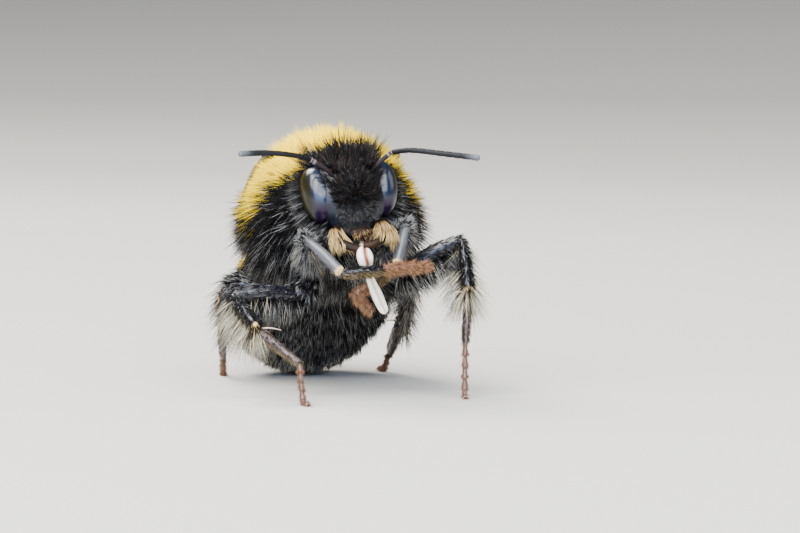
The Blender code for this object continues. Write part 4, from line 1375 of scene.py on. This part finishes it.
# Hair of each leg part: count, length, width, stand, share of silver tips, share of gold
legCoats = {
    "fore": {"hip": (500, 0.7, 0.04, 0.4, 0.5, 0.0),
             "femur": (1700, 0.62, 0.036, 0.4, 0.7, 0.06),
             "tibia": (1500, 0.17, 0.02, 0.3, 0.7, 0.0),
             "basitarsus": (1500, 0.34, 0.028, 0.4, 0.1, 0.45),
             "tarsus": (1500, 0.46, 0.028, 0.6, 0.04, 0.6)},
    "mid": {"hip": (500, 0.8, 0.045, 0.4, 0.3, 0.0),
            "femur": (2300, 0.34, 0.025, 0.3, 0.14, 0.0),
            "tibia": (1500, 0.42, 0.034, 0.5, 0.14, 0.12),
            "basitarsus": (1700, 0.24, 0.022, 0.45, 0.3, 0.5),
            "tarsus": (1200, 0.24, 0.022, 0.5, 0.0, 0.3)},
    "hind": {"hip": (500, 0.8, 0.045, 0.4, 0.4, 0.0),
             "femur": (1500, 0.55, 0.036, 0.4, 0.4, 0.0),
             "tibia": (900, 0.5, 0.036, 0.4, 0.3, 0.0),
             "basitarsus": (1100, 0.22, 0.024, 0.35, 0.2, 0.25),
             "tarsus": (1200, 0.24, 0.022, 0.5, 0.0, 0.3)},
}
# Long fringes below thigh and shin: count, length, and shares of silver, white and gold
fringes = {"fore": {"femur": (560, 0.95, 0.7, 0.0, 0.06)},
           "mid": {"femur": (1100, 1.25, 0.45, 0.08, 0.0), "tibia": (620, 1.75, 0.15, 0.85, 0.1)},
           "hind": {"tibia": (700, 1.25, 0.5, 0.1, 0.15), "femur": (300, 0.8, 0.6, 0.0, 0.0)}}


def legCoat(pair, part, route):
    count, length, width, stand, silver, gold = legCoats[pair][part]
    run, foot = unit(route[-1] - route[0]), part == "tarsus"

    def marks(p, n):
        warm = blendStep(-n[:, 2], -0.35, 0.35) * someOf(len(p), 0.7, 0.4)
        if foot:
            warm = np.maximum(warm, someOf(len(p), 0.25, 0.3))
        return {"silver": someOf(len(p), silver, 0.3), "gold": gold * warm,
                "rust": rng.uniform(0.25, 1, len(p)) * foot}

    def reach(p, n):  # the foot's hairs are longest at the end of each of its joints
        share = ((p - route[0]) @ run) / np.linalg.norm(route[-1] - route[0])
        return length * (0.5 + 0.6 * (share / footJoint % 1) if foot else 1 + 0 * share)

    look = {"count": count, "length": reach, "width": width, "stand": stand,
            "lie": lambda p, n: unit(run + (0, 0, -0.3) + 0 * n), "marks": marks, "perTuft": 4,
            "tuftWidth": 0.05, "gather": 0.25, "bend": 0.3, "cells": 80, "rings": 2,
            "fray": 0.22 if foot else 0.09}
    if (pair, part) == ("hind", "tibia"):  # the outer face is a bare, shining basket
        look["where"] = lambda p, n: 1 - 0.93 * (np.abs(n[:, 0]) > 0.75)
    return look


def legFringe(pair, part, route):
    count, length, silver, white, gold = fringes[pair][part]
    run = unit(route[-1] - route[0])
    hang = (0, 0, -1.0) - run * (run[2] * -0.6)
    edges = unit(np.cross(run, (1, 0, 0)))

    def where(p, n):  # below, and on the hind shin along both edges of its basket
        if (pair, part) == ("hind", "tibia"):
            return blendStep(np.abs(n @ edges), 0.55, 0.9)
        return blendStep(-n[:, 2] + 0.25 * np.abs(n[:, 0]), 0.1, 0.7)

    def marks(p, n):
        return {"silver": someOf(len(p), silver, 0.3), "gold": someOf(len(p), gold, 0.2),
                "white": someOf(len(p), white, 0.3)}

    return {"count": count, "length": length, "width": 0.03, "stand": 0.45, "where": where,
            "lie": lambda p, n: unit(hang + 0.35 * run + 0.25 * n), "bend": 0.3, "curl": 0.14,
            "perTuft": 3, "tuftWidth": 0.06, "gather": 0.35, "cells": 80, "rings": 2,
            "marks": marks}


def makeClaws(name, pair, side, at):
    # two claws at the toe, and a spur at the end of the shin (two on the hind legs)
    shin, heel, run = unit(at[3] - at[2]), unit(at[4] - at[3]), unit(at[6] - at[5])
    across = unit(np.cross(run, (0, 0, 1.0)))
    down = (0, 0, -1.0) + run * run[2]
    toe = at[6] - run * 0.05
    length = legs["claw"] * (1 if pair == "fore" else legs["clawBehind"])
    thorns = []
    for way in (1, -1):
        claw = spike(toe + across * 0.05 * way, run * 0.8 + across * 0.55 * way, down, length,
                     legs["clawRadius"])
        thorns.append(limbShell(claw, 24, 8, ruddy=0.35))
    for way in ((1, -1) if pair == "hind" else (1,)):
        spur = spike(at[3], shin * 0.12 + (0, 0, 0.34) - sideways * 0.9 * way * side, heel,
                     legs["spur"][pair], legs["spurRadius"])
        thorns.append(limbShell(spur, 24, 8, ruddy=1.0))
    shellPiece(f"{name}_claws", thorns, thornHorn, "foot_brown")


def makeLeg(pair, word, side):
    name, fore = f"{pair}_{word}", pair == "fore"
    at = np.array(legs[name]) + bodyCentre * (1, 1, 0)
    routes = dict(zip(legParts, (at[0:2], at[1:3], at[2:4], at[3:5], at[4:7])))
    skins = {part: legSkin(part, routes[part], *half) for part, half in zip(legParts, legs[pair])}
    ruddy = {"basitarsus": 0.05 if fore else 0.25,
             "tarsus": lambda u, v: (0.8 if fore else 0.3) + 0.2 * np.abs(np.sin(u * 16))}
    golden = {"tibia": lambda u, v: blendStep(u, 0.87, 0.95),
              "basitarsus": lambda u, v: 0.3 * blendStep(u, 0.92, 1.0)}
    # the fore shin is greyed for its fine down, with a painted sheen
    shells = [limbShell(skins[part], 110 if part == "tarsus" else 40, 20,
                        ruddy=ruddy.get(part, 0.0), golden=golden.get(part, 0.0),
                        ashy=float(fore and part == "tibia")) for part in legParts]
    shellPiece(f"{name}_shell", shells, blackShell, "shell_black",
               *[f"{name}_{part}" for part in legParts])
    makeClaws(name, pair, side, at)
    lots = []
    for part, route in routes.items():
        lots.append(growHairs(skins[part], legCoat(pair, part, route)))
        if part in fringes[pair]:
            lots.append(growHairs(skins[part], legFringe(pair, part, route)))
    coatPiece(f"coat_{name}", lots)


thornHorn = shellMaterial("thornHorn", (0.02, 0.008, 0.005), (0.06, 0.025, 0.012), 0.25,
                          coat=0.3, ruddy=(0.62, 0.42, 0.32))


def makeLegs():
    for pair in ("fore", "mid", "hind"):
        for word, side in sides.items():
            makeLeg(pair, word, side)


makeLegs()
print("legs made")
